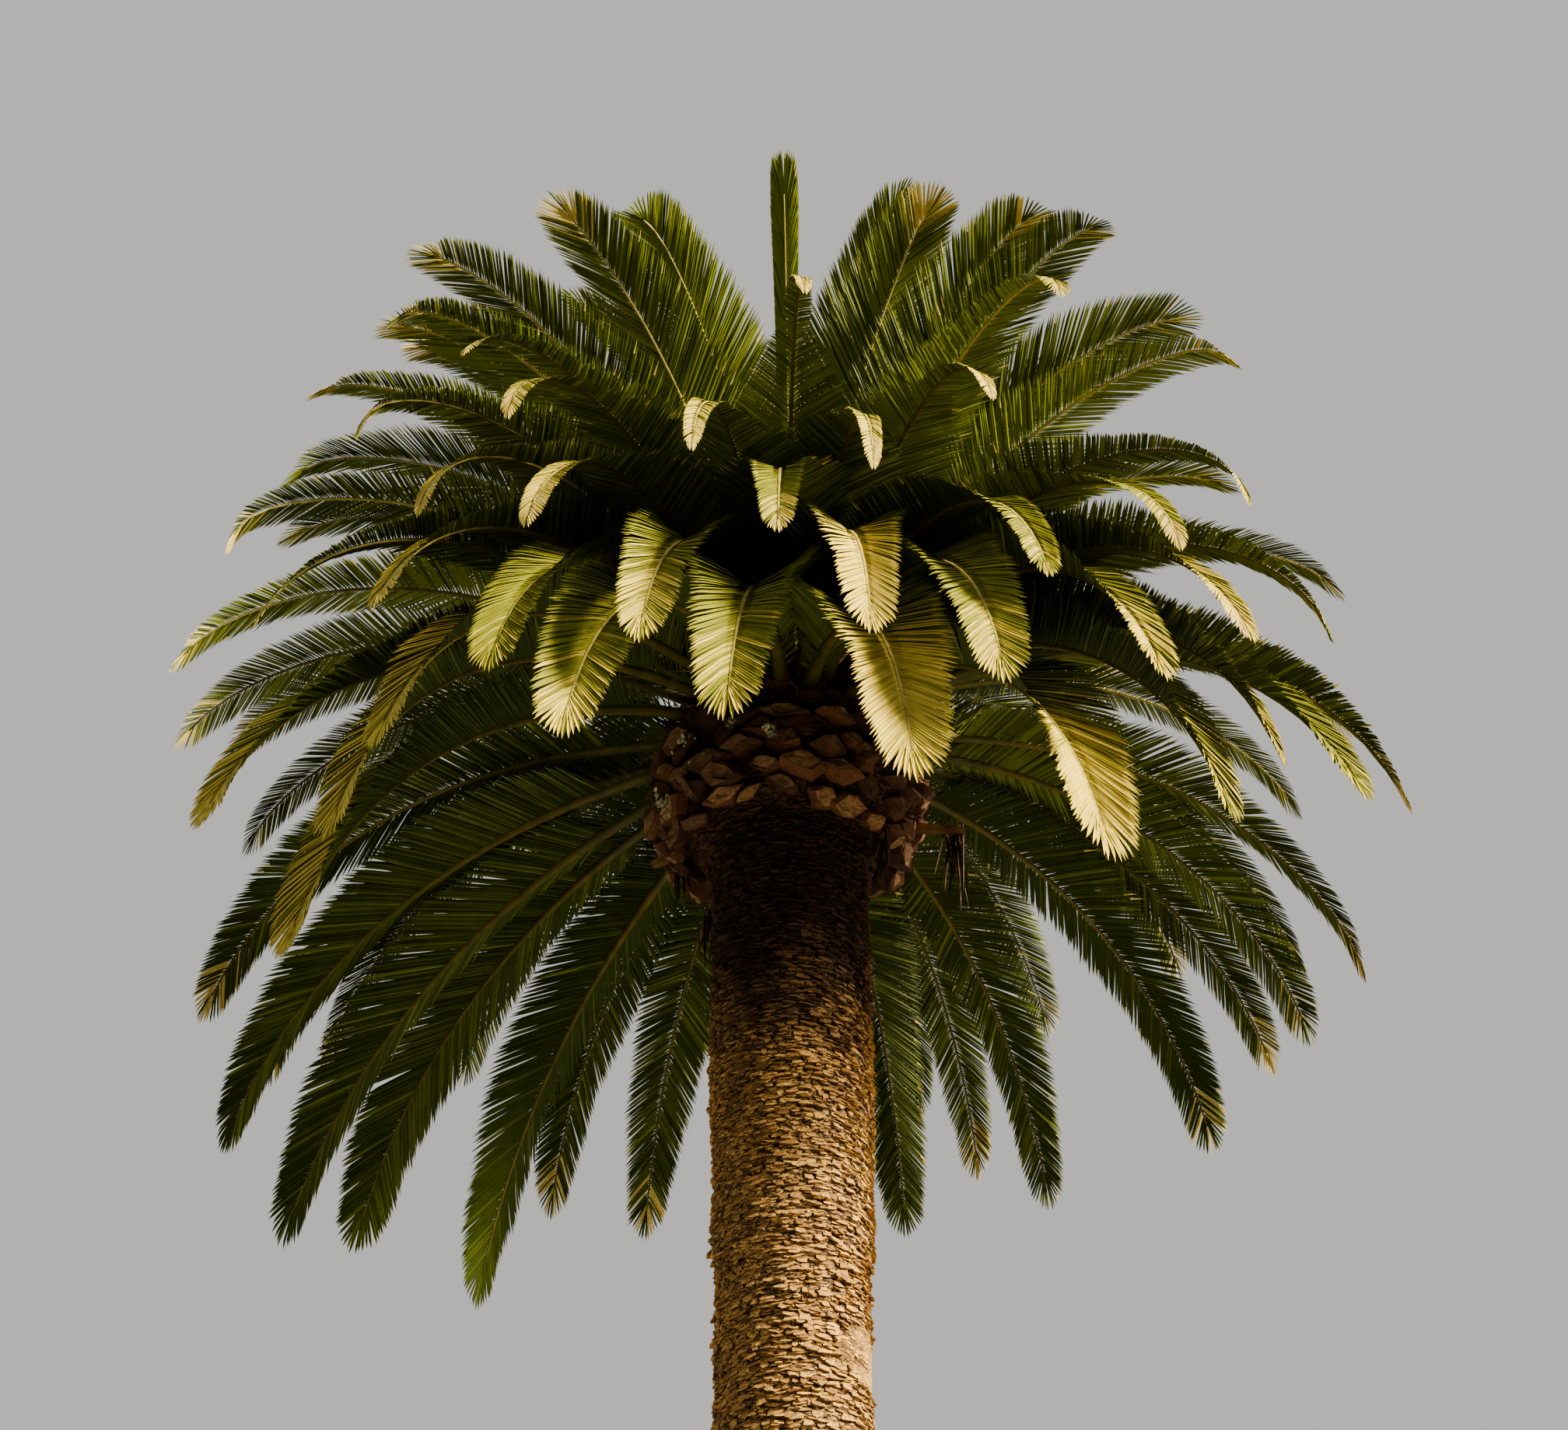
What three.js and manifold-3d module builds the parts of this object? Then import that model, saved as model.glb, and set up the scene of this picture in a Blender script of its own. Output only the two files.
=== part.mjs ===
// A Canary Island date palm: one straight trunk, the fat boss of cut leaf bases under the crown,
// and about a hundred arching feather fronds. Millimetres, +Z up, the origin in the flat cut
// under the trunk at ground level, +X to the right and +Y away from the side that is seen.
import * as THREE from 'three';
import Module from 'manifold-3d';

const wasm = await Module();
wasm.setup();

// Driving dimensions of the trunk and the boss.
const TRUNK_HEIGHT = 7600;
const TRUNK_SIDES = 24;
const FLARE_HEIGHT = 900;
const FOOT_LOBES = 0.032;
const STEM_LOBES = 0.012;
const LEAN = -0.006;
const CROWN_SHIFT = -45;
const CLEARANCE = 0.35;
const BOSS_COLUMNS = 20;
const BOOT_ROWS = 8;
const BOOT_DEPTH = 34;
const BOOT_FACE = 0.64;
const BOOT_RING_GAP = 22;
const CONE_RINGS = [0.12, 0.4, 0.7, 1];
const HEART_TOP = 9000;
const HEART_RADIUS = 60;
const RIM_RADIUS = 600;
const RIM_HEIGHT = 8240;

// Driving dimensions of a frond. Age runs from 0, the upright spear, to 14, the oldest frond.
const OLDEST = 14;
const RIB_STEPS = 40;
const STALK_END = 0.2;
const YOUNG_STALK = 40;
const OLD_STALK = 66;
const STALK_TAPER = 0.85;
const TIP_WIDTH = 12;
const THICKNESS = 0.6;
const LEAST_THICK = 9;
const BLADE_TEETH = 7;
const BLADE_END = 0.94;
const LEAFLET = 400;
const LEAFLET_REACH = [0.72, 1, 1, 0.94, 0.84, 0.66, 0.42];
const SWEEP_AT_STALK = 58;
const SWEEP_AT_TIP = 34;
const LEAFLET_RISE = 24;
const ROOT_DEPTH = 70;
const GAP = 1.5;
const RIB_GAP = 4;
const LINK_RADIUS = 0.6;
const TURN_STEP = 2;
const AGE_STEP = 0.25;
const BAR = 34;
const BAR_REACH = 450;
const DROP_SPREAD = 0.035;
const LENGTH_SPREAD = 0.02;
const SWAY_SPREAD = 5;
const ROLL_SPREAD = 22;
const SEED = 2694;

// Radius of the trunk at each height: the root flare, a slow taper, the swelling at 5.6 m, and
// the collar that widens under the boss.
const TRUNK_PROFILE = [
  [0, 520], [160, 468], [400, 430], [800, 398], [1300, 374], [1900, 354], [2600, 341],
  [3400, 334], [4200, 330], [4810, 329], [5060, 331], [5410, 326], [5520, 345], [5600, 357],
  [5700, 352], [5860, 343], [6060, 356], [6270, 371], [6670, 368], [7100, 366], [7380, 372],
  [7480, 400], [TRUNK_HEIGHT, 452],
];

// The boss from its flat underside to the rim of the crown: radius and height.
const BOSS_FOOT = [[452, TRUNK_HEIGHT + 0.4], [575, 7700]];
const BOOT_PROFILE = [
  [600, 7745], [640, 7810], [672, 7890], [686, 7975], [680, 8060], [655, 8140],
  [RIM_RADIUS, RIM_HEIGHT - BOOT_RING_GAP],
];

// Fronds of each age and their bearings in degrees, 0 to the right and 270 towards the front,
// with a twist of the blade where it has one. First those read from the photograph, then those
// of the far side and the hidden middle.
const FRONDS = [
  [1, [269], 78], [1, [293]], [1.8, [243, 297]], [3, [236, 307]], [4, [325, 355]],
  [4.7, [229, 304]], [5, [197, 184]], [6, [231, 217, 318, 353]], [7, [294, 5, 19]],
  [8, [244, 232, 270, 195, 182, 41, 166]], [9, [246, 286, 308, 24, 74, 127]],
  [10, [263, 277, 224, 250, 302, 317, 12, 21, 31, 68, 148]],
  [11, [238, 267, 289, 305, 332, 37, 59, 76, 107, 118, 158, 172]],
  [12, [274, 259, 246, 284, 216, 298, 311, 322]], [13, [249, 266, 279, 229, 127, 145, 169]],
  [14, [297, 220, 159]],
  [0, [95]], [1, [200, 40, 130]], [2, [350, 75, 160]], [3, [205, 20, 60, 105, 145]],
  [4, [213, 35, 80, 120, 165]], [5, [50, 95, 135]], [6, [65, 110, 150]],
  [7, [205, 45, 85, 125, 170]], [8, [60, 100, 140]], [10, [92, 240]], [12, [90, 235]], [13, [88, 310]],
];

// Places along a rib where its section is given: three on the bare stalk, then one a tooth.
const STATIONS = [0, 0.09, STALK_END];
for (let i = 1; i <= BLADE_TEETH; i += 1) {
  STATIONS.push(STALK_END + ((BLADE_END - STALK_END) * i) / BLADE_TEETH);
}
STATIONS.push(1);

// Repeatable numbers between -1 and 1, one stream for the whole crown.
let state = SEED;
function spread() {
  state = (state * 1664525 + 1013904223) % 4294967296;
  return (state / 4294967296) * 2 - 1;
}

function mix(a, b, t) {
  return a + (b - a) * t;
}

// Value of a list of evenly spaced numbers at a place between 0 and 1.
function along(list, t) {
  const place = Math.min(Math.max(t, 0), 1) * (list.length - 1);
  const low = Math.min(Math.floor(place), list.length - 2);
  return mix(list[low], list[low + 1], place - low);
}

// The middle of the stem at a height: a slight lean, and the crown a little further over.
function stemCentre(z) {
  const top = THREE.MathUtils.smoothstep(z, 5600, TRUNK_HEIGHT);
  return new THREE.Vector3(LEAN * z * (1 - top) + CROWN_SHIFT * top, 0, z);
}

// A closed mesh from a list of points and a list of triangles.
function geometryOf(points, triangles) {
  const geometry = new THREE.BufferGeometry();
  geometry.setAttribute('position', new THREE.Float32BufferAttribute(points.flatMap((p) => p.toArray()), 3));
  geometry.setIndex(triangles.flat());
  return geometry;
}

// Two triangles for each side between two rings of points.
function joinRings(lower, upper, count, triangles) {
  for (let i = 0; i < count; i += 1) {
    const next = (i + 1) % count;
    triangles.push([lower + i, lower + next, upper + next], [lower + i, upper + next, upper + i]);
  }
}

function closeRing(ring, count, centre, upwards, triangles) {
  for (let i = 0; i < count; i += 1) {
    const next = (i + 1) % count;
    triangles.push(upwards ? [ring + i, ring + next, centre] : [ring + next, ring + i, centre]);
  }
}

// The trunk: rings up the stem, a little out of round, closed by a flat cut at each end.
function trunkGeometry() {
  const points = [];
  const triangles = [];
  TRUNK_PROFILE.forEach(([z, radius], row) => {
    const centre = stemCentre(z);
    for (let i = 0; i < TRUNK_SIDES; i += 1) {
      const turn = (i / TRUNK_SIDES) * Math.PI * 2;
      const lobe = 1 + Math.sin(3 * turn + z / 900) * (z < FLARE_HEIGHT ? 0.032 : 0.012);
      points.push(new THREE.Vector3(
        centre.x + radius * lobe * Math.cos(turn),
        centre.y + radius * lobe * Math.sin(turn),
        z,
      ));
    }
    if (row > 0) joinRings((row - 1) * TRUNK_SIDES, row * TRUNK_SIDES, TRUNK_SIDES, triangles);
  });
  const last = (TRUNK_PROFILE.length - 1) * TRUNK_SIDES;
  points.push(stemCentre(0), stemCentre(TRUNK_HEIGHT));
  closeRing(0, TRUNK_SIDES, points.length - 2, false, triangles);
  closeRing(last, TRUNK_SIDES, points.length - 1, true, triangles);
  return geometryOf(points, triangles);
}

// The boss: a smooth foot, a lattice of raised cut leaf bases, and the cone that the fronds
// leave. A growth makes the same shape a little larger, to cut neighbours clear of it.
function bossGeometry(growth) {
  const points = [];
  const triangles = [];
  const columns = BOSS_COLUMNS;
  function ringPoint(radius, z, column) {
    const centre = stemCentre(z);
    const turn = (column / columns) * Math.PI * 2;
    const r = radius + growth;
    return new THREE.Vector3(centre.x + r * Math.cos(turn), centre.y + r * Math.sin(turn), z + growth);
  }
  function addRing(radius, z, offset) {
    const start = points.length;
    for (let i = 0; i < columns; i += 1) points.push(ringPoint(radius, z, i + offset));
    return start;
  }
  function bootPlace(row, column, lift) {
    const t = row / BOOT_ROWS;
    const radius = along(BOOT_PROFILE.map((p) => p[0]), t) + lift;
    return ringPoint(radius, along(BOOT_PROFILE.map((p) => p[1]), t), column);
  }
  const foot = BOSS_FOOT.map(([radius, z]) => addRing(radius, z, 0));
  joinRings(foot[0], foot[1], columns, triangles);
  const lattice = [];
  for (let row = 0; row <= BOOT_ROWS; row += 1) {
    lattice.push(points.length);
    for (let i = 0; i < columns; i += 1) points.push(bootPlace(row, i + (row % 2) / 2, 0));
  }
  joinRings(foot[1], lattice[0], columns, triangles);
  for (let row = 0; row <= BOOT_ROWS; row += 1) {
    const half = row % 2;
    for (let i = 0; i < columns; i += 1) {
      const left = lattice[row] + i;
      const right = lattice[row] + ((i + 1) % columns);
      const near = (i + half) % columns;
      const below = row > 0 ? lattice[row - 1] + near : -1;
      const above = row < BOOT_ROWS ? lattice[row + 1] + near : -1;
      if (below < 0) {
        triangles.push([left, right, above]);
      } else if (above < 0) {
        triangles.push([left, below, right]);
      } else {
        const corners = [left, below, right, above];
        const middle = i + half / 2 + 0.5;
        const face = [[0, -0.5], [-1, 0], [0, 0.5], [1, 0]].map(([up, over]) => {
          points.push(bootPlace(row + up * BOOT_FACE, middle + over * BOOT_FACE, BOOT_DEPTH));
          return points.length - 1;
        });
        for (let side = 0; side < 4; side += 1) {
          const next = (side + 1) % 4;
          triangles.push([corners[side], corners[next], face[next]], [corners[side], face[next], face[side]]);
        }
        triangles.push([face[0], face[1], face[2]], [face[0], face[2], face[3]]);
      }
    }
  }
  let below = lattice[BOOT_ROWS];
  CONE_RINGS.forEach((t) => {
    const ring = addRing(mix(RIM_RADIUS, HEART_RADIUS, t), mix(RIM_HEIGHT, HEART_TOP, t ** 1.1), 0);
    joinRings(below, ring, columns, triangles);
    below = ring;
  });
  points.push(stemCentre(HEART_TOP + 30 + growth), stemCentre(TRUNK_HEIGHT + 0.4 + growth));
  closeRing(below, columns, points.length - 2, true, triangles);
  closeRing(foot[0], columns, points.length - 1, false, triangles);
  return geometryOf(points, triangles);
}

// How a frond grows, from its age: how steeply it leaves the crown, how far it bends over, how
// long it is and where it stands on the cone.
const LAUNCH = [86, 78, 70, 62, 55, 48, 41, 34, 27, 20, 12, 4, -4, -12, -20];
const DROP = [30, 50, 62, 70, 76, 82, 86, 90, 92, 92, 90, 84, 76, 68, 60];
const LENGTH = [3050, 2800, 2750, 2800, 2850, 2950, 3000, 3100, 3150, 3200, 3200, 3200, 3200, 3200, 3150];
const YOUNG_BEND = 2.1;
const OLD_BEND = 1.2;

function growFrond(age, bearing, twist, traits) {
  const u = age / OLDEST;
  const frond = {
    age,
    bearing,
    twist,
    launch: along(LAUNCH, u),
    drop: along(DROP, u) * (1 + DROP_SPREAD * traits[0]),
    length: along(LENGTH, u) * (1 + LENGTH_SPREAD * traits[1]),
    bend: mix(YOUNG_BEND, OLD_BEND, u),
    sway: SWAY_SPREAD * traits[2],
    roll: ROLL_SPREAD * traits[3],
  };
  const turn = THREE.MathUtils.degToRad(bearing);
  const radius = mix(HEART_RADIUS, RIM_RADIUS, u ** 0.85);
  const z = mix(HEART_TOP, RIM_HEIGHT, u ** 1.1);
  const start = stemCentre(z).add(new THREE.Vector3(radius * Math.cos(turn), radius * Math.sin(turn), 0));
  frond.points = [start];
  for (let i = 0; i < RIB_STEPS; i += 1) {
    const step = heading(frond, (i + 0.5) / RIB_STEPS).multiplyScalar(frond.length / RIB_STEPS);
    frond.points.push(frond.points[i].clone().add(step));
  }
  frond.links = STATIONS.slice(1).map((t, i) => ({
    from: ribPoint(frond, STATIONS[i]),
    to: ribPoint(frond, t),
    radius: ribWidth(frond, STATIONS[i]) * LINK_RADIUS,
  }));
  return frond;
}

// The direction of the rib at a place between 0, the crown, and 1, the tip.
function heading(frond, t) {
  const rise = THREE.MathUtils.degToRad(frond.launch - frond.drop * t ** frond.bend);
  const turn = THREE.MathUtils.degToRad(frond.bearing + frond.sway * t * t);
  return new THREE.Vector3(Math.cos(rise) * Math.cos(turn), Math.cos(rise) * Math.sin(turn), Math.sin(rise));
}

function ribPoint(frond, t) {
  const place = Math.min(t, 1) * RIB_STEPS;
  const low = Math.min(Math.floor(place), RIB_STEPS - 1);
  return frond.points[low].clone().lerp(frond.points[low + 1], place - low);
}

// The rib's own axes: forwards, up out of the blade, and to the side.
function ribAxes(frond, t) {
  const forward = heading(frond, t);
  const flat = new THREE.Vector3(forward.y, -forward.x, 0).normalize();
  const normal = flat.clone().cross(forward);
  const roll = THREE.MathUtils.degToRad(frond.twist + frond.roll * t);
  const up = normal.clone().multiplyScalar(Math.cos(roll)).addScaledVector(flat, Math.sin(roll));
  const side = flat.clone().multiplyScalar(Math.cos(roll)).addScaledVector(normal, -Math.sin(roll));
  return { forward, up, side };
}

// Width of the rib: a broad leaf stalk that tapers to the tip.
function ribWidth(frond, t) {
  const stalk = mix(YOUNG_STALK, OLD_STALK, frond.age / OLDEST);
  if (t < STALK_END) return mix(stalk, stalk * STALK_TAPER, t / STALK_END);
  return mix(stalk * STALK_TAPER, TIP_WIDTH, ((t - STALK_END) / (1 - STALK_END)) ** 0.8);
}

// Where the tip of a leaflet lies that leaves the rib at t, on the side of sign.
function leafletTip(frond, t, sign) {
  const { forward, up, side } = ribAxes(frond, t);
  const out = (t - STALK_END) / (1 - STALK_END);
  const reach = LEAFLET * along(LEAFLET_REACH, out);
  const sweep = THREE.MathUtils.degToRad(mix(SWEEP_AT_STALK, SWEEP_AT_TIP, out));
  const rise = THREE.MathUtils.degToRad(LEAFLET_RISE);
  return ribPoint(frond, t)
    .addScaledVector(forward, reach * Math.cos(sweep))
    .addScaledVector(side, sign * reach * Math.sin(sweep) * Math.cos(rise))
    .addScaledVector(up, reach * Math.sin(sweep) * Math.sin(rise));
}

// The rib's section: flat above, with a keel below.
function section(frond, t) {
  const { up, side } = ribAxes(frond, t);
  const width = ribWidth(frond, t);
  const thick = Math.max(width * THICKNESS, LEAST_THICK);
  const middle = ribPoint(frond, t);
  if (t === 0) middle.addScaledVector(heading(frond, 0), -ROOT_DEPTH);
  return [[1, 0.4], [-1, 0.4], [0, -0.6]].map(([across, over]) => middle.clone()
    .addScaledVector(side, (across * width) / 2)
    .addScaledVector(up, over * thick));
}

// A convex piece of a frond, with the directions that may part it from another.
function convexPiece(owner, points, faces) {
  const edges = new Map();
  faces.forEach((face) => face.forEach((a, i) => {
    const b = face[(i + 1) % face.length];
    edges.set(`${Math.min(a, b)}-${Math.max(a, b)}`, points[b].clone().sub(points[a]).normalize());
  }));
  const normals = faces.map(([a, b, c]) => points[b].clone().sub(points[a])
    .cross(points[c].clone().sub(points[a])).normalize());
  return { owner, points, normals, edges: [...edges.values()], box: new THREE.Box3().setFromPoints(points) };
}

function spanOn(axis, points) {
  const reach = points.map((p) => axis.dot(p));
  return [Math.min(...reach), Math.max(...reach)];
}

function touching(a, b) {
  if (!a.box.clone().expandByScalar(GAP).intersectsBox(b.box)) return false;
  const axes = [...a.normals, ...b.normals];
  a.edges.forEach((p) => b.edges.forEach((q) => axes.push(p.clone().cross(q))));
  return !axes.some((axis) => {
    if (axis.lengthSq() < 1e-6) return false;
    axis.normalize();
    const [lowA, highA] = spanOn(axis, a.points);
    const [lowB, highB] = spanOn(axis, b.points);
    return lowB - highA > GAP || lowA - highB > GAP;
  });
}

const BLOCK_FACES = [[0, 1, 2, 3], [4, 5, 6, 7], [0, 1, 5, 4], [1, 2, 6, 5], [2, 3, 7, 6], [3, 0, 4, 7]];
const RIB_FACES = [[0, 1, 2], [3, 4, 5], [0, 1, 4, 3], [1, 2, 5, 4], [2, 0, 3, 5]];
const TIP_FACES = [[0, 1, 2], [0, 1, 3], [1, 2, 3], [2, 0, 3]];
const TOOTH_FACES = [[0, 1, 4], [1, 2, 4], [2, 3, 4], [3, 0, 4], [0, 1, 2, 3]];

// The rib's sections, and the pieces between them.
function layOut(frond) {
  frond.sections = STATIONS.slice(0, -1).map((t) => section(frond, t));
  frond.tip = ribPoint(frond, 1);
  frond.ribPieces = [];
  for (let i = 0; i + 1 < frond.sections.length; i += 1) {
    const points = [...frond.sections[i], ...frond.sections[i + 1]];
    frond.ribPieces.push(convexPiece(frond, points, RIB_FACES));
  }
  frond.ribPieces.push(convexPiece(frond, [...frond.sections.at(-1), frond.tip], TIP_FACES));
  frond.teeth = {};
}

// A tooth of the blade: a thin spray whose root fills the rib's side between two stations.
function tooth(frond, segment, sign) {
  const near = frond.sections[segment];
  const far = frond.sections[segment + 1];
  const edge = sign > 0 ? 0 : 1;
  const root = [near[edge], far[edge], far[2], near[2]];
  const t = mix(STATIONS[segment], STATIONS[segment + 1], 0.6);
  return convexPiece(frond, [...root, leafletTip(frond, t, sign)], TOOTH_FACES);
}

// The frond as one closed mesh: the rib with the teeth that stay clear of every other frond.
function frondSolid(frond) {
  const points = frond.sections.flat();
  const triangles = [[0, 1, 2]];
  const last = frond.sections.length - 1;
  for (let i = 0; i < last; i += 1) {
    const a = i * 3;
    const b = a + 3;
    [[0, 1], [1, 2], [2, 0]].forEach(([p, q]) => {
      const apex = frond.teeth[`${i}:${p}`];
      if (apex) {
        points.push(apex);
        const top = points.length - 1;
        triangles.push([a + p, b + p, top], [b + p, b + q, top], [b + q, a + q, top], [a + q, a + p, top]);
      } else {
        triangles.push([a + p, b + p, b + q], [a + p, b + q, a + q]);
      }
    });
  }
  points.push(frond.tip);
  [[0, 1], [1, 2], [2, 0]].forEach(([p, q]) => {
    triangles.push([last * 3 + p, points.length - 1, last * 3 + q]);
  });
  return solidOf(points, triangles);
}

// A solid that can be joined and cut, turned right way out if its triangles face inwards.
function solidOf(points, triangles) {
  const volumes = triangles.map(([a, b, c]) => points[a].dot(points[b].clone().cross(points[c])));
  const inwards = volumes.reduce((sum, volume) => sum + volume, 0) < 0;
  const facing = inwards ? triangles.map(([a, b, c]) => [a, c, b]) : triangles;
  const mesh = new wasm.Mesh({
    numProp: 3,
    vertProperties: new Float32Array(points.flatMap((p) => p.toArray())),
    triVerts: new Uint32Array(facing.flat()),
  });
  return new wasm.Manifold(mesh);
}

// The cut may leave a loose scrap of a leaf stalk, which is dropped.
function largestBody(solid) {
  const bodies = solid.decompose();
  return bodies.reduce((best, body) => (body.volume() > best.volume() ? body : best));
}

function geometryOfSolid(solid) {
  const mesh = solid.getMesh();
  const geometry = new THREE.BufferGeometry();
  const count = mesh.vertProperties.length / mesh.numProp;
  const position = new Float32Array(count * 3);
  for (let i = 0; i < count; i += 1) {
    for (let k = 0; k < 3; k += 1) position[i * 3 + k] = mesh.vertProperties[i * mesh.numProp + k];
  }
  geometry.setAttribute('position', new THREE.BufferAttribute(position, 3));
  geometry.setIndex([...mesh.triVerts]);
  return geometry;
}

// The leaf sheath that joins two neighbouring fronds where they clasp the stem.
function sheath(a, b) {
  const from = ribPoint(a, 0.012);
  const to = ribPoint(b, 0.012);
  const run = to.clone().sub(from).normalize();
  const out = heading(a, 0).add(heading(b, 0)).normalize();
  const across = run.clone().cross(out).normalize();
  const points = [];
  [from, to].forEach((middle) => {
    [[1, 1], [-1, 1], [-1, -1], [1, -1]].forEach(([p, q]) => {
      points.push(middle.clone().addScaledVector(out, (p * BAR) / 2).addScaledVector(across, (q * BAR) / 2));
    });
  });
  return points;
}

const BLOCK_TRIANGLES = [
  [0, 1, 2], [0, 2, 3], [4, 6, 5], [4, 7, 6], [0, 4, 5], [0, 5, 1],
  [1, 5, 6], [1, 6, 2], [2, 6, 7], [2, 7, 3], [3, 7, 4], [3, 4, 0],
];

// Shortest distance between two straight links of two ribs.
function linkDistance(p, q) {
  const u = p.to.clone().sub(p.from);
  const v = q.to.clone().sub(q.from);
  const w = p.from.clone().sub(q.from);
  const uu = u.dot(u);
  const vv = v.dot(v);
  const uv = u.dot(v);
  const uw = u.dot(w);
  const vw = v.dot(w);
  const level = Math.max(uu * vv - uv * uv, 1e-9);
  const first = THREE.MathUtils.clamp((uv * vw - vv * uw) / level, 0, 1);
  const t = THREE.MathUtils.clamp((uv * first + vw) / vv, 0, 1);
  const s = THREE.MathUtils.clamp((uv * t - uw) / uu, 0, 1);
  return w.addScaledVector(u, s).addScaledVector(v, -t).length();
}

function ribsClear(a, b) {
  return a.links.every((p) => b.links.every((q) => linkDistance(p, q) > p.radius + q.radius + RIB_GAP));
}

// Turns and ages by which a frond may move to find room, the smallest move first.
const MOVES = [];
for (let turns = -8; turns <= 8; turns += 1) {
  for (let ages = -4; ages <= 4; ages += 1) {
    const cost = Math.abs(turns) + 1.3 * Math.abs(ages) + 0.01 * turns + 0.001 * ages;
    MOVES.push({ turn: turns * TURN_STEP, age: ages * AGE_STEP, cost });
  }
}
MOVES.sort((a, b) => a.cost - b.cost);

// Each frond takes the nearest place where its rib is clear of those before it.
const crown = [];
const places = FRONDS.flatMap(([age, bearings, twist = 0]) => (
  bearings.map((bearing) => [age, bearing, twist])
));
places.forEach(([age, bearing, twist]) => {
  const traits = [spread(), spread(), spread(), spread()];
  for (const move of MOVES) {
    const moved = Math.min(Math.max(age + move.age, 0), OLDEST);
    const frond = growFrond(moved, bearing + move.turn, twist, traits);
    if (crown.every((other) => ribsClear(frond, other))) {
      crown.push(frond);
      return;
    }
  }
});
crown.forEach(layOut);
const ribs = crown.flatMap((frond) => frond.ribPieces);

// Neighbouring fronds are fused in pairs, the closest first, where the sheath between them
// stays clear of the others.
const candidates = [];
crown.forEach((a, i) => crown.slice(i + 1).forEach((b) => {
  const distance = a.points[0].distanceTo(b.points[0]);
  if (distance < BAR_REACH) candidates.push({ a, b, distance });
}));
candidates.sort((p, q) => p.distance - q.distance);
const groups = [];
const bars = [];
candidates.forEach(({ a, b }) => {
  if (a.group || b.group) return;
  const bar = convexPiece(null, sheath(a, b), BLOCK_FACES);
  const others = ribs.filter((piece) => piece.owner !== a && piece.owner !== b);
  if (others.some((piece) => touching(bar, piece)) || bars.some((other) => touching(bar, other))) return;
  const group = { fronds: [a, b], bar };
  a.group = group;
  b.group = group;
  bars.push(bar);
  groups.push(group);
});
crown.filter((frond) => !frond.group).forEach((frond) => groups.push({ fronds: [frond] }));

// Teeth are dealt from the tips inwards, so that crowded stalks near the crown lose theirs.
const teeth = [];
for (let back = 0; back < BLADE_TEETH; back += 1) {
  crown.forEach((frond) => {
    const segment = frond.sections.length - 2 - back;
    [1, -1].forEach((sign) => {
      const piece = tooth(frond, segment, sign);
      const free = (other) => other.owner === frond || !touching(piece, other);
      if (ribs.every(free) && teeth.every(free) && bars.every(free)) {
        teeth.push(piece);
        frond.teeth[`${segment}:${sign > 0 ? 2 : 1}`] = piece.points[4];
      }
    });
  });
}

function matt(name, color, roughness) {
  return new THREE.MeshStandardMaterial({ name, color, roughness, metalness: 0 });
}

const bark = matt('bark', 0x8f6b48, 0.95);
const boots = matt('cut_leaf_bases', 0x8a6236, 0.9);
const leaf = matt('frond', 0x66702e, 0.6);

const palm = new THREE.Group();
function addNode(name, geometry, material) {
  const mesh = new THREE.Mesh(geometry, material);
  mesh.name = name;
  palm.add(mesh);
}

addNode('trunk', trunkGeometry(), bark);
addNode('crown_boss', bossGeometry(0), boots);

const cutter = bossGeometry(CLEARANCE);
const cutterPoints = [];
for (let i = 0; i < cutter.attributes.position.count; i += 1) {
  cutterPoints.push(new THREE.Vector3().fromBufferAttribute(cutter.attributes.position, i));
}
const cutterTriangles = [];
for (let i = 0; i < cutter.index.count; i += 3) {
  cutterTriangles.push([cutter.index.getX(i), cutter.index.getX(i + 1), cutter.index.getX(i + 2)]);
}
const bossCutter = solidOf(cutterPoints, cutterTriangles);

groups.forEach((group, i) => {
  let solid = frondSolid(group.fronds[0]);
  group.fronds.slice(1).forEach((frond) => {
    solid = solid.add(frondSolid(frond));
  });
  if (group.bar) solid = solid.add(solidOf(group.bar.points, BLOCK_TRIANGLES));
  solid = largestBody(solid.subtract(bossCutter));
  addNode(`fronds_${String(i + 1).padStart(2, '0')}`, geometryOfSolid(solid), leaf);
});

export default palm;
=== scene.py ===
# %% [markdown]
# # A grown date palm
# The palm has a straight ringed trunk, a fat boss of cut leaf bases and a round crown of arching
# feather fronds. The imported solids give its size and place. Here the plain solids are dressed:
# the fronds get their hundreds of narrow leaflets, the boss its sawn leaf bases and the trunk
# its flaky scars. Shapes are worked out in millimetres and turned to metres as a mesh is made.

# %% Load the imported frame
import math

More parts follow.
